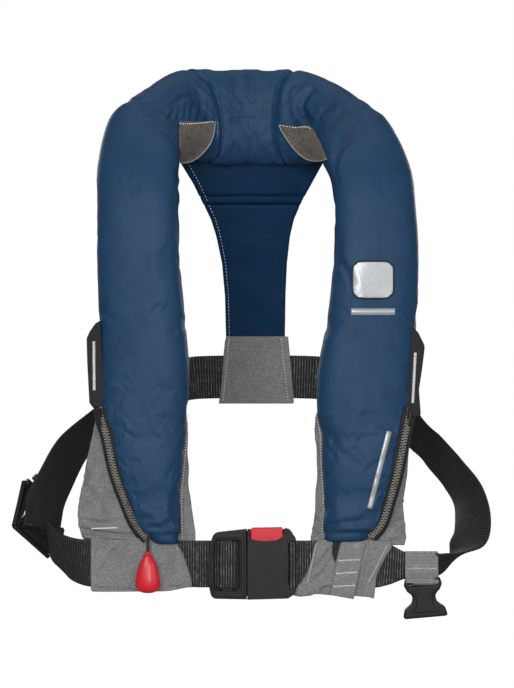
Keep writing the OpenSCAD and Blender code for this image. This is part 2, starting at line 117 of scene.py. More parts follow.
class Finish:
    """A node material: a Principled shader whose colour and bump are built up in layers."""

    def __init__(self, name, colour, roughness, metallic=0.0, sheen=0.0, coat=0.0, gleam=0.5):
        self.material = bpy.data.materials.new(name)
        self.material.use_nodes = True
        self.tree = self.material.node_tree
        self.shader = self.tree.nodes["Principled BSDF"]
        self.shader.inputs["Roughness"].default_value = roughness
        self.shader.inputs["Metallic"].default_value = metallic
        self.shader.inputs["Sheen Weight"].default_value = sheen
        self.shader.inputs["Coat Weight"].default_value = coat
        self.shader.inputs["Specular IOR Level"].default_value = gleam
        self.place = self.add("ShaderNodeTexCoord").outputs["Object"]
        base = self.add("ShaderNodeRGB")
        base.outputs[0].default_value = linear(colour)
        self.colour = base.outputs[0]
        self.normal = None
        self.link(self.colour, self.shader.inputs["Base Color"])

    def add(self, kind):
        return self.tree.nodes.new(kind)

    def link(self, source, target):
        self.tree.links.new(source, target)

    def grain(self, size, stretch=(1, 1, 1), detail=3.0):
        """Noise whose features are about size mm, longer by stretch along each axis."""
        scale = self.add("ShaderNodeMapping")
        scale.inputs["Scale"].default_value = [1 / (size * MM * s) for s in stretch]
        self.link(self.place, scale.inputs["Vector"])
        texture = self.add("ShaderNodeTexNoise")
        texture.inputs["Scale"].default_value = 1.0
        texture.inputs["Detail"].default_value = detail
        self.link(scale.outputs[0], texture.inputs["Vector"])
        return texture.outputs["Fac"]

    def cells(self, size):
        """Distance to the nearest cell centre of a Voronoi pattern, for fibres and pebbles."""
        texture = self.add("ShaderNodeTexVoronoi")
        texture.inputs["Scale"].default_value = 1 / (size * MM)
        self.link(self.place, texture.inputs["Vector"])
        return texture.outputs["Distance"]

    def attribute(self, name):
        node = self.add("ShaderNodeAttribute")
        node.attribute_name = name
        return node.outputs["Fac"]

    def times(self, a, b):
        node = self.add("ShaderNodeMath")
        node.operation = "MULTIPLY"
        self.link(a, node.inputs[0])
        self.link(b, node.inputs[1])
        return node.outputs[0]

    def tint(self, factor, colour, low=0.3, high=0.7, amount=1.0):
        """Mixes in a colour where factor rises from low to high."""
        ramp = self.add("ShaderNodeMapRange")
        ramp.inputs["From Min"].default_value = low
        ramp.inputs["From Max"].default_value = high
        ramp.inputs["To Max"].default_value = amount
        self.link(factor, ramp.inputs["Value"])
        mix = self.add("ShaderNodeMix")
        mix.data_type = "RGBA"
        self.link(ramp.outputs[0], mix.inputs["Factor"])
        self.link(self.colour, mix.inputs["A"])
        mix.inputs["B"].default_value = linear(colour)
        self.colour = mix.outputs["Result"]
        self.link(self.colour, self.shader.inputs["Base Color"])
        return self

    def bump(self, height, depth):
        """Raises the surface by height, up to depth mm."""
        node = self.add("ShaderNodeBump")
        node.inputs["Strength"].default_value = 1.0
        node.inputs["Distance"].default_value = depth * MM
        self.link(height, node.inputs["Height"])
        if self.normal is not None:
            self.link(self.normal, node.inputs["Normal"])
        self.normal = node.outputs["Normal"]
        self.link(self.normal, self.shader.inputs["Normal"])
        return self

    def roughen(self, factor, low, high):
        """Roughness that varies from low to high with factor."""
        ramp = self.add("ShaderNodeMapRange")
        ramp.inputs["To Min"].default_value = low
        ramp.inputs["To Max"].default_value = high
        self.link(factor, ramp.inputs["Value"])
        self.link(ramp.outputs[0], self.shader.inputs["Roughness"])
        return self


def woven(finish, pitch, depth, dark, light):
    """Warp and weft: crossed streaks, as colour and as relief."""
    for stretch in ((1, 1, 9), (9, 9, 1)):
        streak = finish.grain(pitch, stretch, 2.0)
        finish.tint(streak, dark, 0.5, 0.3, 0.2).tint(streak, light, 0.5, 0.75, 0.15)
        finish.bump(streak, depth)
    return finish


def make_navy(name, colour, dark, light, gleam):
    """Coated nylon: a fine weave, faint clouds of colour, and a soft unevenness."""
    made = woven(Finish(name, colour, 0.6, gleam=gleam), 0.6, 0.04, dark, light)
    made.tint(made.grain(26), dark, 0.52, 0.3, 0.3)
    made.bump(made.grain(13, (1, 1, 2)), 0.3)
    return made.material


def make_grey():
    """Mottled grey cloth."""
    made = woven(Finish("grey_cloth", "#828282", 0.85, gleam=0.2), 0.8, 0.14, "#4e4e4e", "#b5b5b5")
    made.tint(made.grain(1.5), "#545454", 0.5, 0.33, 0.7)
    made.tint(made.grain(1.1), "#a9a9a9", 0.55, 0.75, 0.6)
    made.tint(made.grain(20), "#666666", 0.5, 0.3, 0.4)
    return made.material


def make_gusset():
    """Brushed brown-grey fabric with a short nap."""
    made = Finish("brushed_gusset", "#655e58", 0.95, sheen=0.1, gleam=0.2)
    made.tint(made.grain(5), "#3d3833", 0.5, 0.3, 0.9)
    made.tint(made.grain(1.4), "#8f867c", 0.5, 0.7, 0.7)
    made.bump(made.grain(1.5, (1, 1, 3)), 0.5).bump(made.grain(0.5), 0.2)
    return made.material


def make_webbing(name, dark, rib, glint_colour):
    """Webbing whose ribs come from the mesh, with a highlight painted on the top of each rib and painted
    glints of bright thread on it.
    """
    made = Finish(name, dark, 0.65, gleam=0.25)
    ribs = made.attribute("rib")
    # Painted highlight: rib tops turn lighter, then glints of bright thread show where the ribs peak.
    made.tint(ribs, rib, 0.55, 0.95, 0.9)
    made.tint(made.times(ribs, made.grain(5)), glint_colour, 0.42, 0.7, 0.7)
    made.bump(made.grain(0.6), 0.12)
    return made.material


def make_plastic(name, colour, dark, roughness, grain=0.7):
    """Moulded plastic with a spark-eroded grain."""
    made = Finish(name, colour, roughness, gleam=0.28)
    made.tint(made.grain(9), dark, 0.5, 0.3, 0.5)
    made.roughen(made.grain(5), roughness - 0.08, roughness + 0.12)
    made.bump(made.cells(grain), 0.04)
    return made.material


def make_gloss(name, colour, dark):
    """Smooth plastic or lacquer with a light coat."""
    made = Finish(name, colour, 0.38, coat=0.1, gleam=0.4)
    made.tint(made.grain(14), dark, 0.5, 0.3, 0.4)
    made.roughen(made.grain(3), 0.3, 0.42).bump(made.grain(2.2), 0.03)
    return made.material


def make_metal(name, colour, roughness, stretch):
    """Drawn or turned metal, streaked along stretch."""
    made = Finish(name, colour, roughness, metallic=1.0)
    streak = made.grain(0.8, stretch)
    made.tint(streak, "#5b5c60", 0.45, 0.25, 0.5).roughen(streak, roughness, roughness + 0.2)
    made.bump(streak, 0.02)
    return made.material


def make_coated(name, colour, dark, roughness):
    """Rubber, tape or coated fabric."""
    made = Finish(name, colour, roughness)
    made.tint(made.grain(12), dark, 0.5, 0.3, 0.5)
    made.bump(made.grain(0.9), 0.08).bump(made.grain(8), 0.4)
    return made.material


def make_thread(name, colour, dark):
    """Twisted thread or cord."""
    made = Finish(name, colour, 0.7, sheen=0.2)
    made.tint(made.grain(0.7, (3, 3, 1)), dark, 0.5, 0.3, 0.6).bump(made.grain(0.4), 0.08)
    return made.material


def make_reflective():
    """Retroreflective film: a pale sheet with a fine raised honeycomb."""
    made = Finish("reflective_patch", "#b9bcc0", 0.35, metallic=0.3)
    made.tint(made.cells(1.6), "#a3a7ab", 0.35, 0.6, 0.6).bump(made.cells(1.6), 0.08)
    return made.material


MATERIALS = {
    "navy_cover": make_navy("navy_cover", "#173e60", "#0b2a47", "#1f4b70", 0.32),
    # The cover's navy again, made darker: painted shade for the yoke, which lies in the shadow of the collar
    # and lobes.
    "navy_lining": make_navy("navy_lining", "#0a2f4e", "#051d36", "#123c5e", 0.12),
    "grey_cloth": make_grey(),
    "brushed_gusset": make_gusset(),
    "black_webbing": make_webbing("black_webbing", "#1f1f1f", "#505050", "#b4b4b4"),
    "pale_webbing": make_webbing("pale_webbing", "#70706e", "#9c9c99", "#e6e6e2"),
    "zip_tape": make_coated("zip_tape", "#1b1b1b", "#101010", 0.75),
    "zip_teeth": make_plastic("zip_teeth", "#86867f", "#34342f", 0.45, 0.9),
    "zip_slider": make_gloss("zip_slider", "#1c1c1d", "#0e0e0e"),
    "black_plastic": make_plastic("black_plastic", "#191919", "#101010", 0.45),
    "red_plastic": make_gloss("red_plastic", "#d3182b", "#a90f1e"),
    "spring_steel": make_metal("spring_steel", "#b7b8bd", 0.25, (1, 1, 1)),
    "cylinder_steel": make_metal("cylinder_steel", "#a9abb0", 0.3, (1, 1, 30)),
    "bladder_fabric": make_coated("bladder_fabric", "#e8b21c", "#b98508", 0.5),
    "black_rubber": make_coated("black_rubber", "#1f1f20", "#121212", 0.8),
    "cartridge_plastic": make_plastic("cartridge_plastic", "#d9b92c", "#a98b12", 0.35),
    "black_cord": make_thread("black_cord", "#1a1a1a", "#3a3a3a"),
    "oral_tube_rubber": make_coated("oral_tube_rubber", "#dfae1b", "#a77d08", 0.6),
    "white_plastic": make_plastic("white_plastic", "#e6e6e3", "#c9c9c4", 0.35),
    "orange_plastic": make_plastic("orange_plastic", "#e8671d", "#b4470c", 0.35),
    "reflective_patch": make_reflective(),
    "white_thread": make_thread("white_thread", "#e9e9e6", "#a9a9a6"),
    "grey_piping": make_thread("grey_piping", "#a9a8a4", "#75746f"),
    "blue_thread": make_thread("blue_thread", "#0d2138", "#061222"),
}


# ---- Making objects ----

def put(name, points, faces, slot, body="vest", stands_for=(), attributes=None, extra=()):
    """A mesh object from points in mm, riding on a body. extra holds further material slots."""
    mesh = bpy.data.meshes.new(name)
    mesh.from_pydata((np.asarray(points, float).reshape(-1, 3) * MM).tolist(), [], faces)
    mesh.validate()
    for each in (slot, *extra):
        mesh.materials.append(MATERIALS[each])
    mesh.polygons.foreach_set("use_smooth", [True] * len(mesh.polygons))
    for key, values in (attributes or {}).items():
        mesh.attributes.new(key, "FLOAT", "POINT").data.foreach_set("value", np.ravel(values))
    obj = bpy.data.objects.new(name, mesh)
    bpy.context.scene.collection.objects.link(obj)
    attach(obj, body)
    if stands_for:
        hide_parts(*stands_for)
    return obj


def grid_faces(rows, columns, looped=False, capped=False):
    """Quads of a grid. A looped grid joins its last column to its first; caps close its two ends."""
    wide = columns if looped else columns - 1
    faces = [(r * columns + c, r * columns + (c + 1) % columns,
              (r + 1) * columns + (c + 1) % columns, (r + 1) * columns + c)
             for r in range(rows - 1) for c in range(wide)]
    if capped:
        faces.append(tuple(range(columns - 1, -1, -1)))
        faces.append(tuple((rows - 1) * columns + c for c in range(columns)))
    return faces


def put_sheet(name, grid, slot, **more):
    """An open sheet through a grid of points."""
    return put(name, grid, grid_faces(*np.shape(grid)[:2]), slot, **more)


def put_tube(name, rings, slot, **more):
    """A closed solid through rings of points."""
    return put(name, rings, grid_faces(*np.shape(rings)[:2], looped=True, capped=True), slot, **more)


def shade_flat(obj):
    obj.data.polygons.foreach_set("use_smooth", [False] * len(obj.data.polygons))


def add_weld(obj, distance):
    obj.modifiers.new("weld", "WELD").merge_threshold = distance * MM


def thicken(obj, thickness, offset=0.0):
    """Gives a sheet its thickness in mm: on both sides of it, or on one for an offset of 1."""
    solid = obj.modifiers.new("thickness", "SOLIDIFY")
    solid.thickness = thickness * MM
    solid.offset = offset


def frames(path, side=None):
    """Unit directions along a path and across it. side gives the across direction where it is known."""
    way = unit(np.gradient(path, axis=0))
    if side is None:
        side = np.cross(way, [0.0, 1.0, 0.0])
        weak = np.linalg.norm(side, axis=1) < 0.1
        side[weak] = [1.0, 0.0, 0.0]
    side = unit(side - way * np.sum(side * way, axis=1, keepdims=True))
    return way, side, np.cross(way, side)


def cord(name, path, radius, slot, closed=False, step=2.0, sides=8, **more):
    """A round cord along a path."""
    path = resample(path, step, closed)
    _, side, up = frames(path)
    turn = whole_turn(sides)
    rings = path[:, None] + radius * (np.cos(turn)[None, :, None] * side[:, None]
                                      + np.sin(turn)[None, :, None] * up[:, None])
    return put_tube(name, rings, slot, **more)


BELT_WIDTH = 48.0


def webbing(name, rows, slot, width=BELT_WIDTH, thickness=2.0, pitch=2.6, relief=0.3, highlight_strength=1.0, **more):
    """Flat ribbed webbing.

    Its rows are a point, the direction across it and, where it is bunched, its width there. The
    ribs are pitch apart and relief high, and the argument after relief scales the highlight painted on their
    tops.
    """
    rows = [[*point, *unit(across), *(bunched or (width,))] for point, across, *bunched in rows]
    path = resample(rows, pitch / 4)
    centre = path[:, :3]
    _, side, up = frames(centre, path[:, 3:6])
    half_width = path[:, 6:] / 2
    rib = 0.5 + 0.5 * np.cos(np.arange(len(path)) * math.pi / 2)
    across = np.array([-1, -0.985, -0.9, -0.6, -0.3, 0, 0.3, 0.6, 0.9, 0.985, 1])
    edge = np.array([0.25, 0.75, 1, 1, 1, 1, 1, 1, 1, 0.75, 0.25])
    outline = list(zip(across, edge)) + list(zip(across[::-1], -edge[::-1]))
    half = thickness / 2 + relief * (rib[:, None] - 0.5)
    rings = np.stack([centre + side * u * half_width + up * half * e for u, e in outline], axis=1)
    # The rib wave, scaled by the strength of the painted highlight, is what the shader paints the highlight
    # from.
    marks = np.repeat(rib[:, None] * highlight_strength, len(outline), axis=1)
    return put_tube(name, rings, slot, attributes={"rib": marks}, **more)


def stitches(name, paths, slot="white_thread", length=2.6, gap=1.5, radius=0.45, lift=0.25, **more):
    """Stitches along paths: short capsules that dip into the cloth at both ends."""
    points, faces = [], []
    turn = whole_turn(6)
    profile = [(-0.5, 0.25, -0.4), (-0.3, 0.9, 0.5), (0, 1.0, 1.0), (0.3, 0.9, 0.5), (0.5, 0.25, -0.4)]
    for path in paths:
        path = resample(path, (length + gap) / 2)
        way, side, up = frames(path)
        up = np.where(up[:, 1:2] > 0, -up, up)
        for i in range(0, len(path), 2):
            start = len(points)
            for along, size, rise in profile:
                middle = path[i] + way[i] * along * length + up[i] * rise * lift
                points += [middle + radius * size * (math.cos(a) * side[i] + math.sin(a) * up[i])
                           for a in turn]
            faces += [tuple(start + k for k in f) for f in grid_faces(len(profile), 6, True, True)]
    return put(name, points, faces, slot, **more)


def rounded_outline(corners, steps=5):
    """Corners of (x, z, radius), with each corner replaced by an arc."""
    corners = np.asarray(corners, float)
    points = []
    for i, (x, z, r) in enumerate(corners):
        here = np.array([x, z])
        before, after = corners[i - 1][:2] - here, corners[(i + 1) % len(corners)][:2] - here
        if r <= 0:
            points.append(here)
            continue
        half = math.acos(np.clip(np.dot(unit(before), unit(after)), -1, 1)) / 2
        shorter_edge = min(np.linalg.norm(before), np.linalg.norm(after))
        cut = min(r / math.tan(half), shorter_edge * 0.49)
        a, b = here + unit(before) * cut, here + unit(after) * cut
        for t in np.linspace(0, 1, steps + 1):
            points.append((1 - t) ** 2 * a + 2 * t * (1 - t) * here + t**2 * b)
    return points


def moulding(name, outlines, front_y, depth, slot, bevel=0.8, **more):
    """A moulded plate with rounded edges, upright in the XZ plane. Outlines after the first are holes."""
    curve = bpy.data.curves.new(name, "CURVE")
    curve.dimensions = "2D"
    curve.fill_mode = "BOTH"
    curve.extrude = (depth / 2 - bevel) * MM
    curve.bevel_depth = bevel * MM
    curve.bevel_resolution = 2
    curve.offset = -bevel * MM
    for outline in outlines:
        line = curve.splines.new("POLY")
        line.points.add(len(outline) - 1)
        for point, (x, z) in zip(line.points, outline):
            point.co = (x * MM, z * MM, 0, 1)
        line.use_cyclic_u = True
    shape = bpy.data.objects.new(name + "_curve", curve)
    bpy.context.scene.collection.objects.link(shape)
    bpy.context.view_layer.update()
    made = bpy.data.meshes.new_from_object(shape.evaluated_get(bpy.context.evaluated_depsgraph_get()))
    flat = np.array([v.co for v in made.vertices]) / MM
    points = np.stack([flat[:, 0], front_y + depth / 2 - flat[:, 2], flat[:, 1]], axis=1)
    faces = [tuple(p.vertices) for p in made.polygons]
    bpy.data.objects.remove(shape)
    obj = put(name, points, faces, slot, **more)
    add_weld(obj, 0.01)
    shade_flat(obj)
    return obj


def slab(name, corners, thickness, slot, bevel, **more):
    """A flat plate with the given corners on its front, thickened away from them."""
    corners = np.array(corners, float)
    out = unit(np.cross(corners[1] - corners[0], corners[-1] - corners[0]))
    out = -out if out[1] > 0 else out
    count = len(corners)
    faces = [tuple(range(count)), tuple(range(2 * count - 1, count - 1, -1))]
    faces += [(k, k + count, (k + 1) % count + count, (k + 1) % count) for k in range(count)]
    obj = put(name, np.vstack([corners, corners - out * thickness]), faces, slot, **more)
    edge = obj.modifiers.new("edge", "BEVEL")
    edge.width = bevel * MM
    edge.segments = 3
    shade_flat(obj)
    return obj


def dress(node, slot, bevel=0.0):
    """Gives a CAD node its material, and softens its edges by bevel mm."""
    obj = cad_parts[node]
    obj.data.materials.clear()
    obj.data.materials.append(MATERIALS[slot])
    if bevel:
        add_weld(obj, 0.005)
        edge = obj.modifiers.new("edge", "BEVEL")
        edge.width = bevel * MM
        edge.segments = 2
        edge.limit_method = "ANGLE"
        edge.angle_limit = math.radians(40)


# ---- The cover ----

# Lobes from the bottom up: x of the inner edge, x of the outer edge, y, z, thickness, wrap.
RIGHT_LOBE = [
    (78, 112, -210, -172, 38, 0), (78.5, 125.5, -208, -156, 44, 0), (79, 137, -206, -130, 47, 0),
    (76.5, 148, -206, -99, 49, 0), (73.5, 155.5, -204, -66, 50, 1), (71.8, 162.5, -203, -40, 50, 4),
    (70, 163, -203, 2, 50, 8), (74.5, 163.5, -203, 56, 50, 10), (79.5, 165, -203, 113, 50, 10),
    (80.5, 165, -197, 174, 50, 10)]
LEFT_LOBE = [
    (67.5, 117, -210, -170, 38, 0), (69, 128.7, -208, -156, 44, 0), (69.5, 137.6, -206, -130, 47, 0),
    (67.5, 146.2, -206, -99, 49, 0), (66.5, 153, -204, -66, 50, 1), (62, 158, -203, -40, 50, 4),
    (63, 162, -203, 2, 50, 8), (72.5, 165, -203, 56, 50, 10), (79, 166.5, -203, 113, 50, 10),
    (80, 164, -197, 174, 50, 10)]
# Shoulders: x, y, z, width, thickness, lean, wrap.
RIGHT_SHOULDER = [
    (123.5, -182, 208, 86, 49, 5, 10), (119.5, -152, 247, 83, 48, 20, 8),
    (109.2, -133, 259.3, 78.8, 48, 32.7, 6), (94.4, -112, 269.8, 82, 48, 48, 4),
    (69.8, -80, 276.2, 102.9, 48, 68.5, 0), (36.5, -66, 276.4, 104.1, 48, 85, 0)]
LEFT_SHOULDER = [
    (117.5, -182, 208, 85, 49, 5, 10), (104.9, -152, 241, 82, 48, 20, 8), (98.5, -132, 252, 76, 48, 32.7, 6),
    (88, -112, 260.7, 76, 48, 46, 4), (62, -80, 270.3, 95, 48, 72, 0), (38, -66, 276, 103.5, 48, 84, 0)]
COLLAR_MIDDLE = (0, -60, 277.2, 104, 48, 90, 0)
# Each collar seam: rows from the collar's middle, and how far it bows towards it in front
SEAMS = ((-0.95, 0.35), (1.84, 0.56))
# Points round the cover, mm between its rings, and the power that squares up its sections
AROUND, RING_STEP, ROUNDING = 64, 4.6, 2 / 2.6
# The cover is blown out from a shape this much smaller, and its creases are capped
SHRUNK, SWELL_CAP = 2.5, 0.8
# The zips' angle round a lobe, and the row that their tops are on
ZIP_ANGLE, ZIP_TOP_ROW = -20, 5.05


def lobe_rows(edges):
    return [((a + b) / 2, y, z, b - a, t, 0, wrap) for a, b, y, z, t, wrap in edges]


def mirrored(rows):
    return [(-x, y, z, w, t, 180 - lean, wrap) for x, y, z, w, t, lean, wrap in reversed(rows)]


COVER_ROWS = (lobe_rows(LEFT_LOBE) + LEFT_SHOULDER + [COLLAR_MIDDLE]
              + mirrored(lobe_rows(RIGHT_LOBE) + RIGHT_SHOULDER))
LAST_ROW = len(COVER_ROWS) - 1
MIDDLE_ROW = LAST_ROW / 2
SEAM_ROWS = [MIDDLE_ROW + away for away, _ in SEAMS]


def section(at):
    """Centre, width direction, inward direction, width and thickness of the cover at row numbers."""
    x, y, z, w, t, lean, wrap = np.moveaxis(catmull(COVER_ROWS, at), -1, 0)
    ahead, behind = catmull(COVER_ROWS, at + 0.02), catmull(COVER_ROWS, at - 0.02)
    along = unit((ahead - behind)[..., :3])
    lean, wrap = np.radians(lean), np.radians(wrap)
    across = unit(np.stack([np.cos(lean) * np.cos(wrap), np.sin(wrap), np.sin(lean) * np.cos(wrap)], -1))
    return np.stack([x, y, z], -1), across, unit(np.cross(along, across)), w, t


def skin(at, angle, off=0.0):
    """Points of the cover's skin at row numbers and angles: 0 is the outer edge, -90 the front."""
    at, angle = np.broadcast_arrays(np.asarray(at, float), np.radians(angle))
    centre, across, inward, w, t = section(at)
    c, s = squared(np.cos(angle), ROUNDING), squared(np.sin(angle), ROUNDING)
    return centre + across * ((w / 2 + off) * c)[..., None] + inward * ((t / 2 + off) * s)[..., None]


def even_angles(count):
    """Angles that space points evenly round a section 85 wide and 50 thick, from the outer edge."""
    fine = np.linspace(0, 2 * math.pi, 2000)
    ring = np.stack([85 * squared(np.cos(fine), ROUNDING), 50 * squared(np.sin(fine), ROUNDING)], 1)
    length = walk(ring)
    return np.degrees(np.interp(np.arange(count) / count * length[-1], length, fine))


def even_rows(step):
    """Row numbers that space rings evenly along the cover, with a ring on each collar seam."""
    fine = np.linspace(0, LAST_ROW, 3000)
    path = catmull(COVER_ROWS, fine)[:, :3]
    length = walk(path)
    stops = [0, *np.interp(SEAM_ROWS, fine, length), length[-1]]
    marks, rings = [], [np.array([0.0])]
    for a, b in zip(stops, stops[1:]):
        rings.append(np.linspace(a, b, int(round((b - a) / step)) + 1)[1:])
        marks.append(sum(len(r) for r in rings) - 1)
    return np.interp(np.concatenate(rings), length, fine), marks[:2]


def cover_grid():
    """The cover as rings of points. Its rings bow towards the collar's middle near each collar seam."""
    rows, seams = even_rows(RING_STEP)
    angles = even_angles(AROUND)
    at = np.repeat(rows[:, None], AROUND, axis=1)
    for away, drift in SEAMS:
        pull = drift * np.exp(-((rows[:, None] - MIDDLE_ROW - away) / 0.8) ** 2)
        at = at - np.sign(away) * pull * np.abs(np.sin(np.radians(angles))) ** 1.5
    return skin(at, angles[None, :], -SHRUNK), rows, seams


def inflate(grid, pinned, pressure=4.0, growth=0.035, frames_run=20):
    """Blows a looped grid out with the cloth solver, and returns the moved grid."""
    rows, columns = grid.shape[:2]
    mesh = bpy.data.meshes.new("inflating")
    mesh.from_pydata((grid.reshape(-1, 3) * MM).tolist(), [], grid_faces(rows, columns, looped=True))
    obj = bpy.data.objects.new("inflating", mesh)
    scene = bpy.context.scene
    scene.collection.objects.link(obj)
    pins = obj.vertex_groups.new(name="pins")
    pins.add([int(i) for i in np.flatnonzero(pinned.ravel())], 1.0, "REPLACE")
    cloth = obj.modifiers.new("cloth", "CLOTH")
    settings = cloth.settings
    settings.quality = 6
    settings.mass = 0.15
    settings.air_damping = 2.0
    settings.tension_stiffness = 20
    settings.compression_stiffness = 12
    settings.shear_stiffness = 6
    settings.bending_stiffness = 0.3
    settings.vertex_group_mass = "pins"
    settings.use_pressure = True
    settings.uniform_pressure_force = pressure
    settings.shrink_min = -growth
    settings.effector_weights.gravity = 0
    cloth.collision_settings.use_collision = False
    cloth.point_cache.frame_start = 1
    cloth.point_cache.frame_end = frames_run
    scene.frame_start, scene.frame_end = 1, frames_run
    for number in range(1, frames_run + 1):
        scene.frame_set(number)
    shaped = obj.evaluated_get(bpy.context.evaluated_depsgraph_get())
    flat = np.empty(rows * columns * 3, np.float32)
    shaped.data.vertices.foreach_get("co", flat)
    scene.frame_set(1)
    bpy.data.objects.remove(obj)
    return flat.reshape(rows, columns, 3).astype(float) / MM


def broad(move):
    """The slow part of a move over a looped grid: few waves around it, smoothed along it."""
    waves = np.fft.rfft(move, axis=1)
    waves[:, 6:] = 0
    slow = np.fft.irfft(waves, n=move.shape[1], axis=1)
    for _ in range(16):
        padded = np.concatenate([slow[:1], slow, slow[-1:]])
        slow = (padded[:-2] + 2 * padded[1:-1] + padded[2:]) / 4
    return slow


def capped(move, cap):
    """Eases a move off so that no point goes further than cap."""
    far = np.linalg.norm(move, axis=-1, keepdims=True)
    return move * (cap * np.tanh(far / cap) / np.maximum(far, 1e-6))


def finer(grid):
    """The same looped surface with twice the rings and twice the points around."""
    rows, columns = grid.shape[:2]
    grid = catmull(grid.reshape(rows, -1), np.arange(2 * rows - 1) / 2).reshape(-1, columns, 3)
    turned = np.swapaxes(grid, 0, 1)
    turned = np.concatenate([turned[-1:], turned, turned[:2]])
    wanted = 1 + np.arange(2 * columns) / 2
    turned = catmull(turned.reshape(len(turned), -1), wanted)
    return np.swapaxes(turned.reshape(len(wanted), -1, 3), 0, 1)


def normals(grid):
    """Outward unit normals of a grid of looped rings."""
    around = np.roll(grid, -1, axis=1) - np.roll(grid, 1, axis=1)
    return unit(np.cross(around, np.gradient(grid, axis=0)))


# Folds on the front of the cover: points of (x, z), depth and half width.
FOLDS = [
    ([(59, 303), (51, 295), (47, 285), (51, 274), (57, 266)], 4.6, 4.2),
    ([(80, 283), (70, 277), (64, 268)], 2.2, 3.0), ([(93, 276), (82, 266), (75, 254)], 1.4, 3.5),
    ([(32, 292), (35, 306), (45, 313), (60, 314)], 1.6, 3.0),
    ([(97, 243), (84, 228), (79, 212), (81, 198)], 2.2, 3.5), ([(104, 262), (90, 248), (82, 234)], 1.8, 3.5),
    ([(84, 115), (92, 103), (98, 90)], 1.4, 4.0),
    ([(-83, 266), (-82, 285)], 1.8, 2.4), ([(-77, 266), (-76, 283)], 1.4, 2.2),
    ([(-71, 266), (-68, 287)], 1.3, 2.6), ([(-63, 266), (-59, 288), (-63, 300)], 1.6, 3.0),
    ([(-55, 268), (-53, 287), (-58, 297)], 1.0, 2.8), ([(-92, 266), (-87, 279)], 2.0, 2.4),
    ([(-90, 282), (-80, 292), (-70, 296)], 1.6, 3.0),
    ([(-98, 250), (-85, 242)], 1.8, 2.6), ([(-105, 256), (-88, 254)], 1.6, 2.6),
    ([(-96, 262), (-106, 268), (-116, 268)], 1.2, 3.0), ([(-84, 214), (-95, 222), (-104, 224)], 1.2, 4.0),
    ([(-84, -150), (-96, -158), (-110, -160)], 1.4, 3.5), ([(70, -160), (88, -154), (108, -152)], 1.8, 4.0),
    ([(-77, -112), (-84, -128), (-84, -146)], 1.4, 4.0), ([(70, -52), (78, -70), (76, -92)], 1.2, 5.0)]


def fold_depth(points, facing, line, depth, width):
    """A groove along a line seen from the front, with a low ridge on both sides."""
    line = resample([(x, 0, z) for x, z in line], 2.0)[:, [0, 2]]
    flat = points[..., [0, 2]].reshape(-1, 2)
    near = np.full(len(flat), 1e9)
    share = np.zeros(len(flat))
    for i, p in enumerate(line):
        d = np.linalg.norm(flat - p, axis=1)
        closer = d < near
        near = np.where(closer, d, near)
        share = np.where(closer, i / (len(line) - 1), share)
    q = (near / width) ** 2
    taper = np.sin(np.pi * (0.12 + 0.76 * share)) ** 0.7
    shape = (-np.exp(-q) + 0.3 * np.exp(-((np.sqrt(q) - 1.7) ** 2) * 1.5)) * taper * depth
    return shape.reshape(points.shape[:-1]) * facing


def crumple(grid):
    """Lays folds, gathers and soft creases into the cover."""
    out = normals(grid)
    facing = smooth((-out[..., 1] - 0.1) / 0.5)
    x, z = grid[..., 0], grid[..., 2]
    rise = np.zeros(grid.shape[:2])
    for line, depth, width in FOLDS:
        rise += fold_depth(grid, facing, line, depth, width)
    collar = smooth((52 - np.abs(x)) / 14) * smooth((z - 222) / 14) * facing
    rise += 1.2 * collar * bumps(grid * [1, 1, 0.25], 9.0, 3.3)
    rise += 0.7 * bumps(grid * [1, 1, 0.5], 30, 9.1) + 0.15 * bumps(grid, 10, 5.7)
    return grid + out * rise[..., None]


def build_cover():
    """The blown-out cover as a fine grid, with the rings of its two collar seams."""
    start, rows, seams = cover_grid()
    angles = even_angles(AROUND)
    lower = (rows < ZIP_TOP_ROW) | (rows > LAST_ROW - ZIP_TOP_ROW)
    on_zip = np.abs((angles + 180) % 360 - 180 - ZIP_ANGLE) < 17
    pinned = np.zeros(start.shape[:2], bool)
    pinned[[0, 1, -2, -1]] = True
    pinned[seams] = True
    pinned |= lower[:, None] & on_zip[None, :]
    grid = start + normals(start) * (np.where(pinned, 0, SHRUNK)[..., None])
    move = inflate(start, pinned) - start
    grid += capped(move - broad(move), SWELL_CAP)
    return crumple(finer(finer(grid))), [4 * ring for ring in seams]


def closed_end(grid, steps=((0.94, 3.0), (0.8, 5.0), (0.5, 6.0), (0.05, 6.5))):
    """Rings that close the end of a tube: shares of its size, and how far each stands out."""
    middle = grid[0].mean(axis=0)
    way = unit(middle - grid[3].mean(axis=0))
    return [middle + (grid[0] - middle) * size + way * out for size, out in reversed(steps)]


COVER, (SEAM_A, SEAM_B) = build_cover()


def turned_in(ring):
    """A slightly smaller ring, where cloth turns in under a seam."""
    return ring + (ring.mean(axis=0) - ring) * 0.12


def cover_piece(name, node, first, last):
    """One sewn length of the cover. Its ends turn in, and a lobe's outer back below the zip is grey."""
    part = COVER[first:last + 1]
    start = closed_end(part) if first == 0 else [turned_in(part[0])]
    end = closed_end(part[::-1])[::-1] if last == len(COVER) - 1 else [turned_in(part[-1])]
    rings = np.array([*start, *part, *end])
    obj = put_tube(name, rings, "navy_cover", stands_for=(node,), extra=("grey_cloth",))
    middles = np.array([p.center[:] for p in obj.data.polygons]) / MM
    columns = rings.shape[1]
    column = np.arange(len(middles)) % columns
    angle = (np.repeat(even_angles(AROUND), columns // AROUND)[column] + 180) % 360 - 180
    grey = (middles[:, 2] < -38) & (angle > ZIP_ANGLE + 8)
    obj.data.polygons.foreach_set("material_index", grey.astype(int))
    return obj


def surface_of(*objects):
    """A BVH tree, in mm, of meshes before their modifiers."""
    points, faces = [], []
    for obj in objects:
        start = len(points)
        points += [v.co / MM for v in obj.data.vertices]
        faces += [tuple(start + i for i in p.vertices) for p in obj.data.polygons]
    return BVHTree.FromPolygons(points, faces)


# The camera's place, and the start of the sight lines that the trimmings are laid along
EYE = np.array([0.0, -2515.0, 29.0])


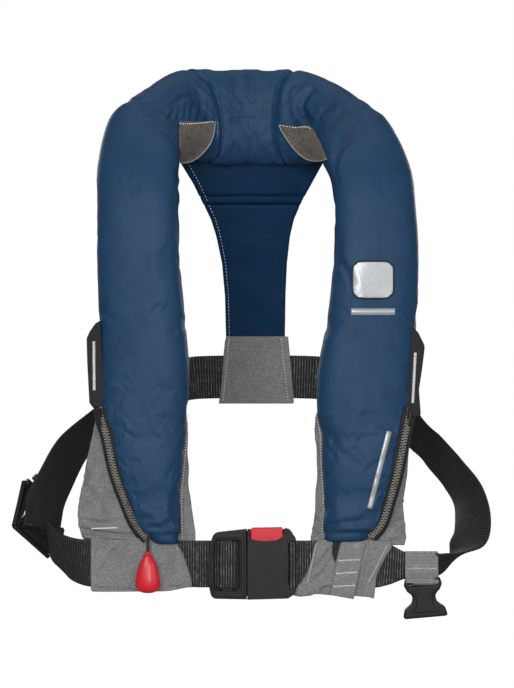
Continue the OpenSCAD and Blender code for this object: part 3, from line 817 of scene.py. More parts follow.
def drape(points, tree, lift, plane_y):
    """Lays (x, z) points of an upright plane on a surface, along sight lines from the front.

    They end lift mm in front of it. A point that misses the surface stays on the plane.
    """
    placed = []
    for x, z in points:
        on_plane = np.array([x, plane_y, z], float)
        way = unit(on_plane - EYE)
        hit = tree.ray_cast(Vector(EYE), Vector(way))[0]
        placed.append((on_plane if hit is None else np.array(hit)) - way * lift)
    return np.array(placed)


COVER_TREE = surface_of(
    cover_piece("left_lobe_shell", "left_lobe_cover", 0, SEAM_A),
    cover_piece("collar_shell", "collar_cover", SEAM_A, SEAM_B),
    cover_piece("right_lobe_shell", "right_lobe_cover", SEAM_B, len(COVER) - 1))


# ---- Yoke, gussets and back plate ----

YOKE_TOP, YOKE_LEAN = 240, 16
# Height, and x of the yoke's right and left edges
YOKE_EDGES = [
    (240, -90, 79), (232, -86, 75), (226, -82.5, 71), (206, -70, 60), (187, -60.5, 49.1), (167, -50.5, 40.4),
    (148, -44.5, 36), (119, -38.4, 32.8), (83, -35.2, 31.3), (36, -34.2, 30.8)]
PLEAT_Z = (191.5, 184.5)


def yoke_y(z):
    return -3.5 - (z - 38.7) * math.tan(math.radians(YOKE_LEAN))


def build_yoke():
    heights = np.linspace(YOKE_TOP, 36, 260)
    table = np.array(YOKE_EDGES)[::-1]
    share = np.linspace(0, 1, 41)
    left, right = (np.interp(heights, table[:, 0], table[:, k]) for k in (1, 2))
    kernel = np.ones(9) / 9
    left, right = (np.convolve(np.pad(e, 4, "edge"), kernel, "valid") for e in (left, right))
    x = left[:, None] + (right - left)[:, None] * share[None, :]
    z = np.repeat(heights[:, None], len(share), axis=1)
    band = smooth((PLEAT_Z[0] - z) / 1.2) * smooth((z - PLEAT_Z[1]) / 1.2)
    grid = np.stack([x, yoke_y(z) - 2.6 * band, z], -1)
    grid[..., 1] += 2.2 * np.exp(-((z - PLEAT_Z[1] + 1.2) / 1.6) ** 2)
    grid[..., 1] += 1.2 * np.exp(-((z - PLEAT_Z[0] - 1.2) / 1.6) ** 2)
    grid[..., 1] += 1.2 * bumps(grid * [0.6, 0, 1], 30, 2.0) + 0.4 * bumps(grid, 12, 8.0)
    grid[..., 1] -= 3.0 * np.sin(np.pi * share)[None, :] ** 0.5
    # The yoke wears the darker navy, with the collar's shade painted into its colour.
    thicken(put_sheet("yoke_cloth", grid, "navy_lining", stands_for=("yoke_panel",)), 2.5)
    stitches("yoke_right_stitching", [grid[12:-2, 2] + [0, -1.6, 0]], length=2.2, radius=0.36)
    stitches("yoke_left_stitching", [grid[12:-2, -3] + [0, -1.6, 0]], "blue_thread", length=2.2, radius=0.4)


# Gussets: their top edge and their curved lower edge, as (x, z) on a plane through the collar's front.
GUSSET_Y = -110
RIGHT_GUSSET = {
    "top": [(-83, 268), (-64, 267.4), (-45, 268)],
    "bottom": [(-83, 223.5), (-76, 223.6), (-67, 226.5), (-58, 234), (-50.5, 243.5), (-46, 256), (-45, 268)]}
LEFT_GUSSET = {
    "top": [(23.3, 263.8), (41, 262), (59.6, 260.4), (74.6, 227.5)],
    "bottom": [(23.3, 263.8), (28.5, 254), (36, 243), (44.6, 233), (55, 226.5), (66, 225.2), (74.6, 227.5)]}


def build_gusset(name, node, edges):
    """A brushed corner patch that lies on the cover and bridges the gap down to the yoke."""
    steps = 44
    top = resample([(x, 0, z) for x, z in edges["top"]], 0.5)
    bottom = resample([(x, 0, z) for x, z in edges["bottom"]], 0.5)
    pick = np.linspace(0, 1, steps)
    top, bottom = (np.stack([np.interp(pick, np.linspace(0, 1, len(e)), e[:, k]) for k in (0, 2)], 1)
                   for e in (top, bottom))
    share = np.linspace(0, 1, 34)[:, None, None]
    flat = top[None] * (1 - share) + bottom[None] * share
    plane = np.stack([flat[..., 0], np.full(flat.shape[:2], float(GUSSET_Y)), flat[..., 1]], -1)
    laid = drape(flat.reshape(-1, 2), COVER_TREE, 1.6, GUSSET_Y).reshape(plane.shape)
    reach = np.linalg.norm(laid - EYE, axis=-1) / np.linalg.norm(plane - EYE, axis=-1)
    missed = (np.abs(laid[..., 1] - GUSSET_Y + 1.6) < 0.05) | (laid[..., 1] > GUSSET_Y + 40)
    resting = reach.copy()
    for _ in range(80):
        padded = np.pad(reach, 1, "edge")
        mean = (padded[:-2, 1:-1] + padded[2:, 1:-1] + padded[1:-1, :-2] + padded[1:-1, 2:]) / 4
        reach = np.where(missed, mean, np.minimum(resting, mean))
    grid = EYE + (plane - EYE) * reach[..., None]
    grid[..., 1] += 0.5 * bumps(grid, 8, 4.0) - 0.8
    thicken(put_sheet(name, grid, "brushed_gusset", stands_for=(node,)), 1.2)
    cord(name + "_piping", grid[-1] + [0, -0.8, 0], 0.55, "grey_piping")
    return grid


def build_gussets():
    right = build_gusset("right_gusset_patch", "right_neck_gusset", RIGHT_GUSSET)
    left = build_gusset("left_gusset_patch", "left_neck_gusset", LEFT_GUSSET)
    for name, grid, last in (("right", right, 43), ("left", left, 22)):
        stitches(name + "_gusset_stitching", [grid[2, 1:last] + [0, -1.6, 0]], length=2.2, radius=0.6)
    beside = drape([(-42.5, 266), (-42, 259), (-43, 250)], COVER_TREE, 0.4, GUSSET_Y)
    stitches("right_gusset_side_stitching", [beside], length=1.0, gap=1.6, radius=0.4)


# Half the back plate's height, the radius of its top corners, and how far in its side seams run
PLATE_HALF, PLATE_CORNER, PLATE_SEAM = 37.8, 6.3, 4.5
# Heights of the rows of tacks across it
TACK_HEIGHTS = (22.3, 2.1, -15.4, -33)


def build_back_plate():
    """A padded plate in grey cloth, sewn down both sides and tacked across."""
    heights, share = np.linspace(PLATE_HALF, -PLATE_HALF, 60), np.linspace(-1, 1, 56)
    left = np.interp(heights, [-PLATE_HALF, PLATE_HALF], [-42.7, -35.5])
    right = np.interp(heights, [-PLATE_HALF, PLATE_HALF], [39.6, 31.5])
    above = np.clip((heights - PLATE_HALF + PLATE_CORNER) / PLATE_CORNER, 0, 1)
    corner = np.sqrt(np.clip(1 - above**2, 0.02, 1))
    middle, half = (left + right) / 2, (right - left) / 2 - PLATE_CORNER * (1 - corner)
    x = middle[:, None] + half[:, None] * share[None, :]
    z = np.repeat(heights[:, None], len(share), axis=1)
    pad = (1 - np.abs(share) ** 6)[None, :] * (1 - np.abs(heights / 38) ** 10)[:, None]
    seam = np.exp(-((np.abs(x - middle[:, None]) - (half - PLATE_SEAM)[:, None]) / 1.3) ** 2)
    front = np.stack([x, -4.6 - 3.6 * pad + 0.8 * seam, z], -1)
    front[..., 1] += 0.35 * bumps(front, 14, 1.0)
    for level in TACK_HEIGHTS:
        front[..., 1] += 0.7 * np.exp(-((z - level) / 1.4) ** 2) * (np.abs(x) < 18)
    thicken(put_sheet("back_plate_front", front, "grey_cloth"), 0.8, 1)
    dress("back_plate", "grey_cloth", 1.2)
    sides = [np.stack([middle + sign * (half - PLATE_SEAM), np.full(60, -9.0), heights], 1)[3:-2]
             for sign in (-1, 1)]
    stitches("back_plate_stitching", sides, length=2.2, gap=1.2)
    wave = [(x, -9.2, 32.6 + 0.8 * math.sin(x / 2.2)) for x in np.arange(-27, 24, 0.8)]
    rows = [[(x, -9.0, level + 0.5 * math.sin(x * 1.6)) for x in np.arange(-17.5, 12, 0.8)]
            for level in TACK_HEIGHTS]
    stitches("back_plate_tacks", [wave] + rows, "grey_piping", length=1.6, gap=0.3, radius=0.35)


# ---- Straps ----

BELT_Y, BELT_Z = -212.5, -197
BELT_END = 163
# Side straps from the front belt round the waist to the back: point, direction of the inner edge, width.
LEFT_STRAP = [
    ((BELT_END, BELT_Y, -198.5), (0, 0, 1), 27), ((179, BELT_Y, -198.3), (0, -0.1, 1), 27),
    ((190, -210.5, -197.2), (0, -0.55, 0.8), 27), ((204, -204, -192.6), (0.1, -0.95, 0.3), 38),
    ((218, -193, -178.2), (0.55, -0.82, -0.15), 48), ((224.6, -180, -159), (0.64, -0.76, 0), 48),
    ((221.6, -158, -132), (0.54, -0.82, 0.12), 48), ((207.5, -135, -108), (0.46, -0.86, 0.22), 48),
    ((189.5, -112, -86), (0.4, -0.82, 0.42), 48), ((175, -97, -70.5), (0.34, -0.83, 0.45), 48),
    ((152, -66, -46), (0.2, -0.5, 0.85), 48), ((116, -24.1, -22), (0, -0.08, 1), 48)]
RIGHT_STRAP = [
    ((-225, -154, -166), (-0.7, -0.56, 0.44), 46), ((-226, -160, -165.5), (-0.7, -0.56, 0.44), 47),
    ((-225.2, -162, -161), (-0.7, -0.56, 0.44), 48), ((-223.3, -150, -138.9), (-0.75, -0.64, 0.18), 48),
    ((-213.7, -137, -115.4), (-0.68, -0.7, 0.21), 48), ((-198.3, -118, -85.6), (-0.58, -0.72, 0.35), 48),
    ((-171, -92, -57), (-0.22, -0.78, 0.6), 48), ((-150, -64, -45), (-0.2, -0.5, 0.85), 48),
    ((-116, -24.1, -22), (0, -0.08, 1), 48)]
RIGHT_LOWER_STRAP = [
    ((-BELT_END, BELT_Y, -197.4), (0, 0, 1), 48), ((-176, -211.5, -195.8), (0, -0.1, 1), 48),
    ((-189.3, -206, -193), (0.11, -0.35, 0.92), 48), ((-200, -196, -188.5), (0.12, -0.6, 0.78), 48),
    ((-211, -182, -182), (0.2, -0.8, 0.55), 48), ((-219, -168, -175), (0.2, -0.86, 0.42), 46)]


def build_straps():
    # The side straps get a weaker painted rib highlight than the belts.
    webbing("left_side_webbing", LEFT_STRAP, "black_webbing", highlight_strength=0.75, stands_for=("left_side_strap",))
    webbing("right_side_webbing", RIGHT_STRAP, "black_webbing", highlight_strength=0.7, stands_for=("right_side_strap",))
    webbing("right_lower_webbing", RIGHT_LOWER_STRAP, "black_webbing", highlight_strength=0.85)
    dip = (0, -0.08, 1)
    webbing("back_belt", [
        ((-118, -24, -22), dip), ((-82, -8, -11), dip), ((-46, -4, -8), (0, 0, 1)),
        ((46, -4, -8), (0, 0, 1)), ((82, -8, -11), dip), ((118, -24, -22), dip)],
        "black_webbing", relief=0.7, pitch=3.0, stands_for=("back_webbing",))


def build_adjuster():
    """The three-bar slider: two bars show at the strap's outer edge, and the lowest carries its fold."""
    finish, more = "black_plastic", {"body": "strap_adjuster"}
    lower_out, lower_in = np.array([-254, -172, -161.5]), np.array([-220, -150.5, -195.5])
    along = lower_in - lower_out
    first, second = np.array([-244.4, -148, -116.3]), np.array([-236.2, -139, -111.3])
    cord("adjuster_low_bar", [lower_out, lower_in], 2.6, finish, sides=16,
         stands_for=("strap_adjuster",), **more)
    cord("adjuster_top_bar", [first, first + along * 0.5], 4.4, finish, sides=20, **more)
    cord("adjuster_next_bar", [second, second + along * 0.5], 3.8, finish, sides=20, **more)
    side = [first + [-1.5, 0, 0], (first + lower_out) / 2 + [-0.6, 0, 0], lower_out]
    cord("adjuster_side", side, 2.8, finish, sides=16, **more)
    fold_out, fold_in = np.array([-242, -170, -149.5]), np.array([-209, -150, -172])
    side_plate = [first + [0, 1, -2], first + [6, 3, -3], fold_out + [-2, 2, 0], lower_out + [0, 1, 0]]
    slab("adjuster_side_plate", side_plate, 3, finish, 0.8, **more)
    lip = [lower_out + [0, 1, 0], fold_out, fold_in, lower_in + [0, 1, 0]]
    slab("adjuster_lip", lip, 3, finish, 0.8, **more)
    middle = [(lower_out + fold_out) / 2 + [2, -1.6, 0], (lower_in + fold_in) / 2 + [0, -1.6, 0]]
    cord("adjuster_rib", middle, 1.2, finish, sides=12, **more)


def belt_loop(bar_x, front_y, gap, tail_x, start):
    """The belt's path: from its start along the chest, round a buckle's bar and back over itself."""
    out = -1 if bar_x < tail_x else 1
    up = (0, 0, 1)
    over = 2.3
    corner = [
        (bar_x - out * (gap + 5), BELT_Y), (bar_x, BELT_Y), (bar_x + out * (gap - 1.8), BELT_Y),
        (bar_x + out * gap, BELT_Y - 1.8), (bar_x + out * gap, front_y + 1.8),
        (bar_x + out * (gap - 1.8), front_y), (bar_x, front_y), (bar_x - out * (gap - 1.8), front_y),
        (bar_x - out * gap, front_y + 1.8), (bar_x - out * (gap + 0.6), BELT_Y - over - 1.0),
        (bar_x - out * (gap + 4), BELT_Y - over), (tail_x, BELT_Y - over)]
    return start + [((x, y, BELT_Z), up) for x, y in corner]


def build_front_belts():
    up = (0, 0, 1)
    right_start = [((-138, BELT_Y, BELT_Z), up), ((-80, BELT_Y, BELT_Z), up)]
    webbing("right_front_webbing", belt_loop(-30.5, -221.2, 7.4, -62, right_start), "black_webbing",
            relief=0.7, body="buckle_half", stands_for=("right_front_belt",))
    left_start = [
        ((BELT_END, BELT_Y, -198.5), up, 27), ((152, BELT_Y, -198.6), (-0.12, 0, 1), 28),
        ((137, BELT_Y, -198), (0.3, 0, 1), 41), ((126, BELT_Y, -197.2), (0.3, 0, 1), 48),
        ((112, BELT_Y, BELT_Z), (0.15, 0, 1), 48), ((90, BELT_Y, BELT_Z), up, 48)]
    webbing("left_front_webbing", belt_loop(37, -220.9, 3.4, 58, left_start), "black_webbing",
            relief=0.7, stands_for=("left_front_belt",))


# Side tabs: outline corners (x, z, radius), then the line of the white tack.
TABS = {
    "right": ([(-154, -36.5, 1), (-168.3, -37, 2), (-172.4, -31.5, 3), (-174.6, 10, 20), (-175.3, 35, 5),
               (-172, 42, 8), (-166.5, 50, 8), (-160, 54, 3), (-158.8, 20, 10)],
              ((-167.6, 31), (-167.2, -18.5))),
    "left": ([(151, -50, 2), (168.6, -44.5, 3), (166.6, -18, 12), (169.8, 3, 20), (172.8, 27, 12),
              (165.8, 41, 6),
              (158, 49, 3), (156.8, 20, 10), (152.5, -25, 10)],
             ((162.6, 19.5), (160, -31)))}


def build_side_tab(side):
    """A flat folded tab of webbing standing out at a lobe's outer edge, with a white tack down it."""
    corners, (top, bottom) = TABS[side]
    moulding(side + "_tab", [rounded_outline(corners)], -213.5, 6, "black_webbing", 1.8,
             stands_for=(side + "_side_tab",))
    line = [(x, -214.1, z) for x, z in straight(top, bottom, 40)]
    stitches(side + "_tab_tack", [line], length=1.6, gap=-0.2, radius=1.7)


# ---- Lower pouches, zips and belt tunnels ----

POUCH_AROUND = 72
# Height, x of the inner and outer edges, y of the middle and thickness.
RIGHT_POUCH = [
    (-26, 84, 158, -186, 8), (-42, 75, 164.5, -187, 14), (-54, 73, 168.3, -188, 20),
    (-92, 71, 176.6, -191, 26),
    (-130, 70, 183.8, -195, 26), (-148, 67, 185, -198, 24), (-168, 64, 181, -203, 17),
    (-177, 64, 174, -207, 9)]
LEFT_POUCH = [
    (-26, 76, 150, -186, 8), (-42, 63, 157.5, -187, 14), (-54, 61, 158, -188, 20), (-92, 62, 156.5, -191, 26),
    (-120, 62, 154, -195, 26), (-147, 59.6, 151.6, -198, 24), (-168, 56, 153, -203, 17),
    (-178, 55, 151, -207, 9)]


# Creases on the pouches: points of (x, z), depth and half width.
POUCH_CREASES = {
    "right": [([(-180, -153), (-160, -155), (-138, -152), (-128, -140)], 2.2, 3.0),
              ([(-138, -166), (-128, -152), (-118, -146)], 2.0, 3.0),
              ([(-182, -162), (-150, -166), (-120, -168)], 3.0, 1.8),
              ([(-176, -120), (-165, -132), (-158, -148)], 1.4, 4.0),
              ([(-80, -140), (-74, -155), (-70, -165)], 1.6, 3.0)],
    "left": [([(152, -110), (147, -128), (142, -140)], 1.8, 3.0),
             ([(154, -150), (143, -156), (130, -158)], 2.0, 2.6),
             ([(58, -150), (66, -158), (74, -160)], 2.0, 2.6),
             ([(60, -168), (70, -166), (80, -164)], 2.4, 2.0)]}


def pouch_grid(rows, sign):
    heights = resample([(r[0], 0, 0, *r[1:]) for r in rows], 3.0)
    turn = whole_turn(POUCH_AROUND)
    flat, deep = squared(np.cos(turn), 0.86), squared(np.sin(turn), 1.15)
    z, _, _, inner, outer, y, thick = heights.T
    x = (inner + outer)[:, None] / 2 + (outer - inner)[:, None] / 2 * flat[None, :]
    grid = np.stack([sign * x, y[:, None] + thick[:, None] / 2 * deep[None, :],
                     np.repeat(z[:, None], len(turn), axis=1)], -1)
    return grid if sign < 0 else grid[:, ::-1]


def build_pouch(side, node, rows, sign, tack=None):
    """The grey cloth behind a lobe: it flares out beside the zip and runs down to the belt."""
    grid = pouch_grid(rows, sign)
    pinned = np.zeros(grid.shape[:2], bool)
    pinned[[0, -1]] = True
    inner = POUCH_AROUND // 2
    pinned[:, [-1, 0, inner - 1, inner, inner + 1]] = True
    grid = grid + capped(inflate(grid, pinned, 1.5, 0.05) - grid, 3.0)
    grid = finer(grid)
    out = normals(grid)
    rise = 2.0 * bumps(grid, 26, 2.2 + sign) + 1.1 * bumps(grid * [1, 1, 0.5], 11, 6.1)
    for line, depth, width in POUCH_CREASES[side]:
        rise += fold_depth(grid, smooth(-out[..., 1] / 0.4), line, depth, width)
    grid = grid + out * rise[..., None]
    pouch = put_tube(side + "_pouch", grid, "grey_cloth", stands_for=(node,))
    if tack:
        line = drape(straight(*tack), surface_of(pouch), 0.4, -205)
        stitches(side + "_pouch_tack", [line], length=1.6, gap=-0.1, radius=0.9)


# Width of a zip's tape, and the distance between its teeth
TAPE_WIDTH, TOOTH_STEP = 17.0, 1.45


def zip_line(side, angle, off, count=90):
    """Points on the cover along a zip, from its top down, at an angle round the lobe."""
    at = np.linspace(ZIP_TOP_ROW + 0.05, 0.0, count)
    at = at if side == "left" else LAST_ROW - at
    return skin(at, angle, off)


def build_slider(side, seat, way, out):
    """The slider that closes the zip, with its thong hanging over the teeth."""
    across = unit(np.cross(way, out))

    def plate(name, corners, lift, thick):
        points = [seat + across * a + way * w + out * lift for a, w in corners]
        return slab(side + name, points, thick, "zip_slider", 0.5, body=side + "_zip_slider")

    outline = [(-2.6, 5), (-4.2, -1), (-3.4, -5), (3.4, -5), (4.2, -1), (2.6, 5)]
    body = plate("_slider_body", outline, 3.4, 1.2)
    plate("_slider_thong", [(-1.5, -2), (1.5, -2), (2.1, 13), (-2.1, 13)], 5.0, 1.0)
    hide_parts(side + "_zip_slider")


def build_zip(side):
    """A zip's tape, and its two rows of teeth that mesh in the middle."""
    line = zip_line(side, ZIP_ANGLE, 0.0)
    way, out = unit(np.gradient(line, axis=0)), unit(zip_line(side, ZIP_ANGLE, 4.0) - line)
    sign = 1 if side == "left" else -1
    out = unit(out + [sign * -0.2, -1.1, 0])
    across = unit(np.cross(way, out)) * sign
    shares = np.linspace(-1, 1, 13)
    fold = 0.9 * np.exp(-((np.abs(shares) - 0.62) / 0.18) ** 2)
    tape = (line[:, None] + across[:, None] * (shares * TAPE_WIDTH / 2)[None, :, None]
            + out[:, None] * (0.6 + fold - 1.6 * np.abs(shares) ** 4)[None, :, None])
    if side == "right":
        tape = tape[:, ::-1]
    thicken(put_sheet(side + "_zip_band", tape, "zip_tape", stands_for=(side + "_zip_tape",)), 0.8)
    seats = resample(line, TOOTH_STEP)
    way, ahead = unit(np.gradient(seats, axis=0)), np.linspace(0, len(line) - 1, len(seats))
    out_at = unit(np.stack([np.interp(ahead, np.arange(len(line)), out[:, k]) for k in range(3)], 1))
    across = unit(np.cross(way, out_at))
    points, faces = [], []
    for i, p in enumerate(seats):
        lean = 1.6 if i % 2 else -1.6
        start = len(points)
        for stretch, lift in ((1.0, 0.5), (1.0, 1.35), (0.72, 1.85)):
            for along, sideways in ((-0.5, -1.9), (0.5, -1.9), (0.5, 1.9), (-0.5, 1.9)):
                points.append(p + way[i] * along * 1.8 * stretch + across[i] * (lean + sideways * stretch)
                              + out_at[i] * (lift + 0.6))
        faces += [tuple(start + k for k in f) for f in grid_faces(3, 4, True, True)]
    teeth = put(side + "_zip_chain", points, faces, "zip_teeth", stands_for=(side + "_zip_teeth",))
    shade_flat(teeth)
    build_slider(side, line[3], way[4], out_at[4])
    below = np.linspace(4.9, 0.2, 60)
    seam = skin(below if side == "left" else LAST_ROW - below, 181.0, 1.3)
    stitches(side + "_overlock", [seam], length=1.6, gap=1.3, radius=0.55)


TUNNEL_Y, TUNNEL_HALF = -212.9, 4.4
# Along the belt: x, top and bottom of the tunnel at that x.
RIGHT_TUNNEL = [(-170.5, -169, -224), (-166, -168.5, -225.5), (-130, -169.5, -225.5), (-95, -172, -225),
                (-83.5, -175, -223.5), (-76.5, -186, -222), (-71, -200, -221), (-67, -214, -221)]
LEFT_TUNNEL = [(36.5, -222, -229), (44, -216.5, -230.5), (50, -208, -230), (55.5, -193, -229.5),
               (61, -174, -228), (80, -172, -229.5), (100, -172, -230), (114, -172, -231),
               (120.5, -172.5, -231),
               (122, -172.5, -214), (130, -173, -194), (138, -174, -181)]


def tunnel_grid(rows):
    """A flattened sleeve along X: rings that go down the front and up the back."""
    rows = resample([(x, 0, 0, top, bottom) for x, top, bottom in rows], 2.2)
    turn = whole_turn(64)
    tall, deep = squared(np.cos(turn), 0.8), -squared(np.sin(turn), 0.35)
    top, bottom = rows[:, 3], rows[:, 4]
    z = (top + bottom)[:, None] / 2 + (top - bottom)[:, None] / 2 * tall[None, :]
    return np.stack(np.broadcast_arrays(rows[:, :1], TUNNEL_Y + TUNNEL_HALF * deep[None, :], z), -1)


# Creases on the tunnels: points of (x, z), depth and half width.
TUNNEL_CREASES = {
    "right": [([(-160, -205), (-150, -190), (-138, -176)], 2.6, 3.0),
              ([(-150, -196), (-137, -184), (-128, -175)], 2.4, 2.6),
              ([(-118, -176), (-112, -190), (-100, -205)], 1.4, 4.0),
              ([(-96, -218), (-90, -200), (-88, -180)], 2.4, 4.0),
              ([(-165, -222), (-120, -223.5), (-78, -220)], 1.4, 2.0)],
    "left": [([(58, -202), (68, -192), (76, -180)], 2.6, 2.4),
             ([(56, -214), (68, -206), (76, -192)], 2.2, 2.4),
             ([(66, -228), (69, -222), (76, -221)], 3.0, 2.0),
             ([(108, -224), (112, -205), (118, -182)], 2.0, 2.6),
             ([(100, -226), (104, -212), (106, -200)], 1.6, 2.4)]}


def build_tunnel(side, rows):
    """The grey sleeve that the front belt runs through."""
    grid = finer(tunnel_grid(rows))
    front = smooth((TUNNEL_Y - grid[..., 1]) / 2)
    for line, depth, width in TUNNEL_CREASES[side]:
        grid[..., 1] -= np.clip(fold_depth(grid, front, line, depth, width), -2.0, 0.8)
    grid[..., 1] += front * 0.5 * bumps(grid, 14, 3.0)
    return surface_of(put_tube(side + "_tunnel", grid, "grey_cloth", stands_for=(side + "_belt_tunnel",)))


# The hem where the right pouch meets its tunnel, and the plane that the tunnels' trimmings are laid from
POUCH_HEM = [(-178.5, -209, -167), (-174, -213.5, -169.2), (-150, -216.6, -169.4), (-138, -216.4, -169.8),
             (-124, -214, -170.5)]
TRIM_Y = -216.0


def build_tunnels():
    right, left = build_tunnel("right", RIGHT_TUNNEL), build_tunnel("left", LEFT_TUNNEL)
    cord("right_pouch_hem", POUCH_HEM, 1.7, "grey_cloth", sides=12)
    for name, top, bottom in (("left_tunnel_piping", (60.5, -177), (51.5, -217)),
                              ("left_tunnel_far_piping", (134, -177), (114, -217))):
        cord(name, drape(straight(top, bottom), left, 0.4, TRIM_Y), 0.9, "grey_piping")
    hem = drape(straight((-165, -222), (-72, -219.5), 60), right, 0.3, TRIM_Y)
    stitches("right_tunnel_hem", [hem], "grey_piping", radius=0.25)
    # A thin black sheet laid on the tunnel's front: the black belt seen through a gap there, with the gap's
    # shade painted in.
    gap = [(78, -174.5), (90, -174.5), (80, -195), (77, -186)]
    slab("left_tunnel_gap_belt_and_shade", drape(gap, left, 1.4, TRIM_Y), 1.6, "black_webbing", 0.2)


def build_webbing_tab():
    """A length of pale webbing sewn down the left tunnel, with three bar tacks."""
    rows = [((99.5, -217.6, -172.5), (1, 0, 0.05)), ((94.6, -218.6, -191), (1, 0, 0.12)),
            ((91.5, -218.6, -208), (1, 0, 0.1)), ((88.3, -218.4, -224), (1, 0, 0.1)),
            ((87, -217.2, -230.5), (1, 0, 0.1))]
    webbing("left_pale_tab", rows, "pale_webbing", width=25, thickness=1.6, pitch=1.6, relief=0.2,
            stands_for=("left_webbing_tab",))
    lines = [[(x + u, -219.9, z + 0.06 * u + 0.6 * math.sin(u * 2.2)) for u in np.arange(-10.5, 10.6, 0.6)]
             for z, x in ((-192.5, 94.3), (-205.5, 92), (-219, 89.2))]
    stitches("left_pale_tab_tacks", lines, length=1.3, gap=0.1, radius=0.6)


# ---- Buckle, toggle, clip and adjuster ----

BUCKLE_Y = -223
# Corners (x, z, radius) that the housing's layers share
SHOULDER = [(34, -161.2, 6), (40, -170.6, 3), (40, -173.2, 0.3), (32, -173.2, 0.5)]
FOOT = [(32, -220.8, 0.5), (40, -220.8, 0.3), (39.4, -226.5, 5), (32, -231.6, 5), (-9.9, -232.8, 0.5)]


def upright(right, left, top, bottom, radius):
    """Corners of an upright rectangle."""
    return [(right, top, radius), (right, bottom, radius), (left, bottom, radius), (left, top, radius)]


def layer(name, outlines, behind, depth, bevel, slot="black_plastic", **more):
    """One moulded layer of the buckle. behind is how far its face lies behind the buckle's front."""
    outlines = [rounded_outline(corners) for corners in outlines]
    moulding(name, outlines, BUCKLE_Y + behind, depth, slot, bevel, **more)


def build_buckle():
    """The frame, the housing with its notch for the button, and the button."""
    half = {"body": "buckle_half"}
    shell = [(-10.3, -160.6, 0.5), (-44.5, -164.4, 8), (-48.6, -178, 12), (-50.3, -196, 20), (-50, -216, 10),
             (-46.5, -232, 7), (-10.3, -232.6, 0.5)]
    window = [(-17.9, -171.7, 4), (-17.9, -224, 5), (-43.5, -224, 5), (-43.5, -171.7, 4)]
    layer("buckle_frame_shell", [shell, window], 1.2, 7.6, 1.0, stands_for=("buckle_frame",), **half)
    rim = [(-13, -163, 2), (-43, -166.4, 7), (-46.6, -179, 12), (-48, -196, 20), (-47.8, -215, 10),
           (-44.8, -229.8, 6), (-13, -230.4, 2)]
    layer("buckle_frame_rim", [rim, upright(-16.4, -44.8, -169.8, -226.6, 5)], 0, 3.0, 0.9, **half)
    # A black plate set behind the frame's window: painted shadow, so the gaps round the belt read dark.
    layer("buckle_window_painted_shadow", [upright(-17, -45, -170.5, -226, 1)], 12.6, 1.2, 0.4, **half)
    layer("buckle_frame_bar", [upright(-25, -36, -171, -228, 1)], 3.0, 4.0, 0.8, **half)
    tongue = [(-14, -180, 1), (6, -180, 3), (12, -187, 3), (12, -207, 3), (6, -214, 3), (-14, -214, 1)]
    layer("buckle_frame_tongue", [tongue], 2.6, 3.8, 0.6, **half)

    layer("buckle_housing_lip", [upright(-8, -14, -163, -230, 0.5)], 9.2, 1.4, 0.4)
    back = [(-9.9, -161.5, 0.5), (24, -161.5, 3)] + SHOULDER + FOOT
    layer("buckle_housing_back", [back], 14.4, 1.6, 0.6, stands_for=("buckle_housing",))
    layer("buckle_housing_middle", [[(-9.9, -178, 0.3), (32, -178, 0.3)] + FOOT], 1.0, 14.0, 0.6)
    cheek = [(28.3, -160.2, 1)] + SHOULDER + [(32, -180, 0.3), (28.3, -180, 0.3)]
    layer("buckle_housing_shoulder", [cheek], 0.4, 15.0, 0.8)
    face = [(-9.9, -161.6, 1.5), (-7.4, -161.6, 0.5), (-7, -170, 2)]
    face += [(x, -172.8 + 0.0085 * (x - 9.5) ** 2, 2) for x in (-2, 6, 13, 21)]
    face += [(26.6, -167.8, 1.5), (28, -160, 1)] + SHOULDER + FOOT
    layer("buckle_housing_face", [face], 0, 1.5, 0.5)
    layer("buckle_strap_bar", [upright(39, 35, -171, -224, 0.8)], 4, 4, 0.7)
    button = [(-6.6, -159.8, 2.5), (26.8, -159.2, 2.5), (27.4, -177, 0.5), (-6.9, -177, 0.5)]
    layer("red_button", [button], 1.7, 11.5, 1.4, "red_plastic", body="release_button",
          stands_for=("release_button",))
    dress("button_spring", "spring_steel")


CORD_X, CORD_Y, TOGGLE_TOP, TOGGLE_TALL = -111.7, -223.5, -187, 39
# Half width of the teardrop at even steps from its top to its bottom
TOGGLE_HALVES = (3.6, 5.6, 7.6, 9.0, 10.0, 10.9, 11.7, 12.4, 12.7, 12.4, 9.8, 1.0)


def build_pull():
    """The red teardrop on its cord."""
    share = 1 - (1 - np.linspace(0, 1, 54)) ** 1.6
    table = np.array(TOGGLE_HALVES)[:, None]
    half = catmull(table, share * (len(table) - 1))[:, 0]
    end = np.clip((share - 0.82) / 0.18, 0, 1)
    half = np.where(share > 0.82, 12.2 * np.sqrt(np.clip(1 - end**2.2, 0.001, 1)), half)
    turn = whole_turn(40)
    rings = np.stack([
        CORD_X + half[:, None] * np.cos(turn), CORD_Y - 0.54 * half[:, None] * np.sin(turn),
        np.repeat((TOGGLE_TOP - TOGGLE_TALL * share)[:, None], len(turn), axis=1)], -1)
    put_tube("red_toggle", rings, "red_plastic", body="pull_handle", stands_for=("pull_toggle",))
    collar = [(CORD_X, CORD_Y, TOGGLE_TOP - 1), (CORD_X, CORD_Y, TOGGLE_TOP + 3.4)]
    cord("toggle_collar", collar, 2.9, "red_plastic", sides=20, step=0.8, body="pull_handle")
    cord("toggle_cord", [(CORD_X, CORD_Y, TOGGLE_TOP), (CORD_X, CORD_Y, -160), (CORD_X, CORD_Y, -136)], 1.7,
         "black_cord", sides=14, body="pull_handle", stands_for=("pull_lanyard",))


CLIP_X, CLIP_Y, CLIP_Z = 169.5, -221, -214
CLIP_TILT = math.radians(5)
# Half outlines of the clip and of the raised panel on it: x, z from the cross-bar, corner radius.
CLIP_HALF = [(18, 3, 2), (19.5, -3.5, 4), (17, -9, 4), (11.5, -14, 8), (12.5, -21, 8), (20.5, -27, 5),
             (23.3, -37, 3)]
PANEL_HALF = [(12.5, -8, 4), (8.5, -14, 5), (8.5, -24, 5), (14, -31.5, 3)]
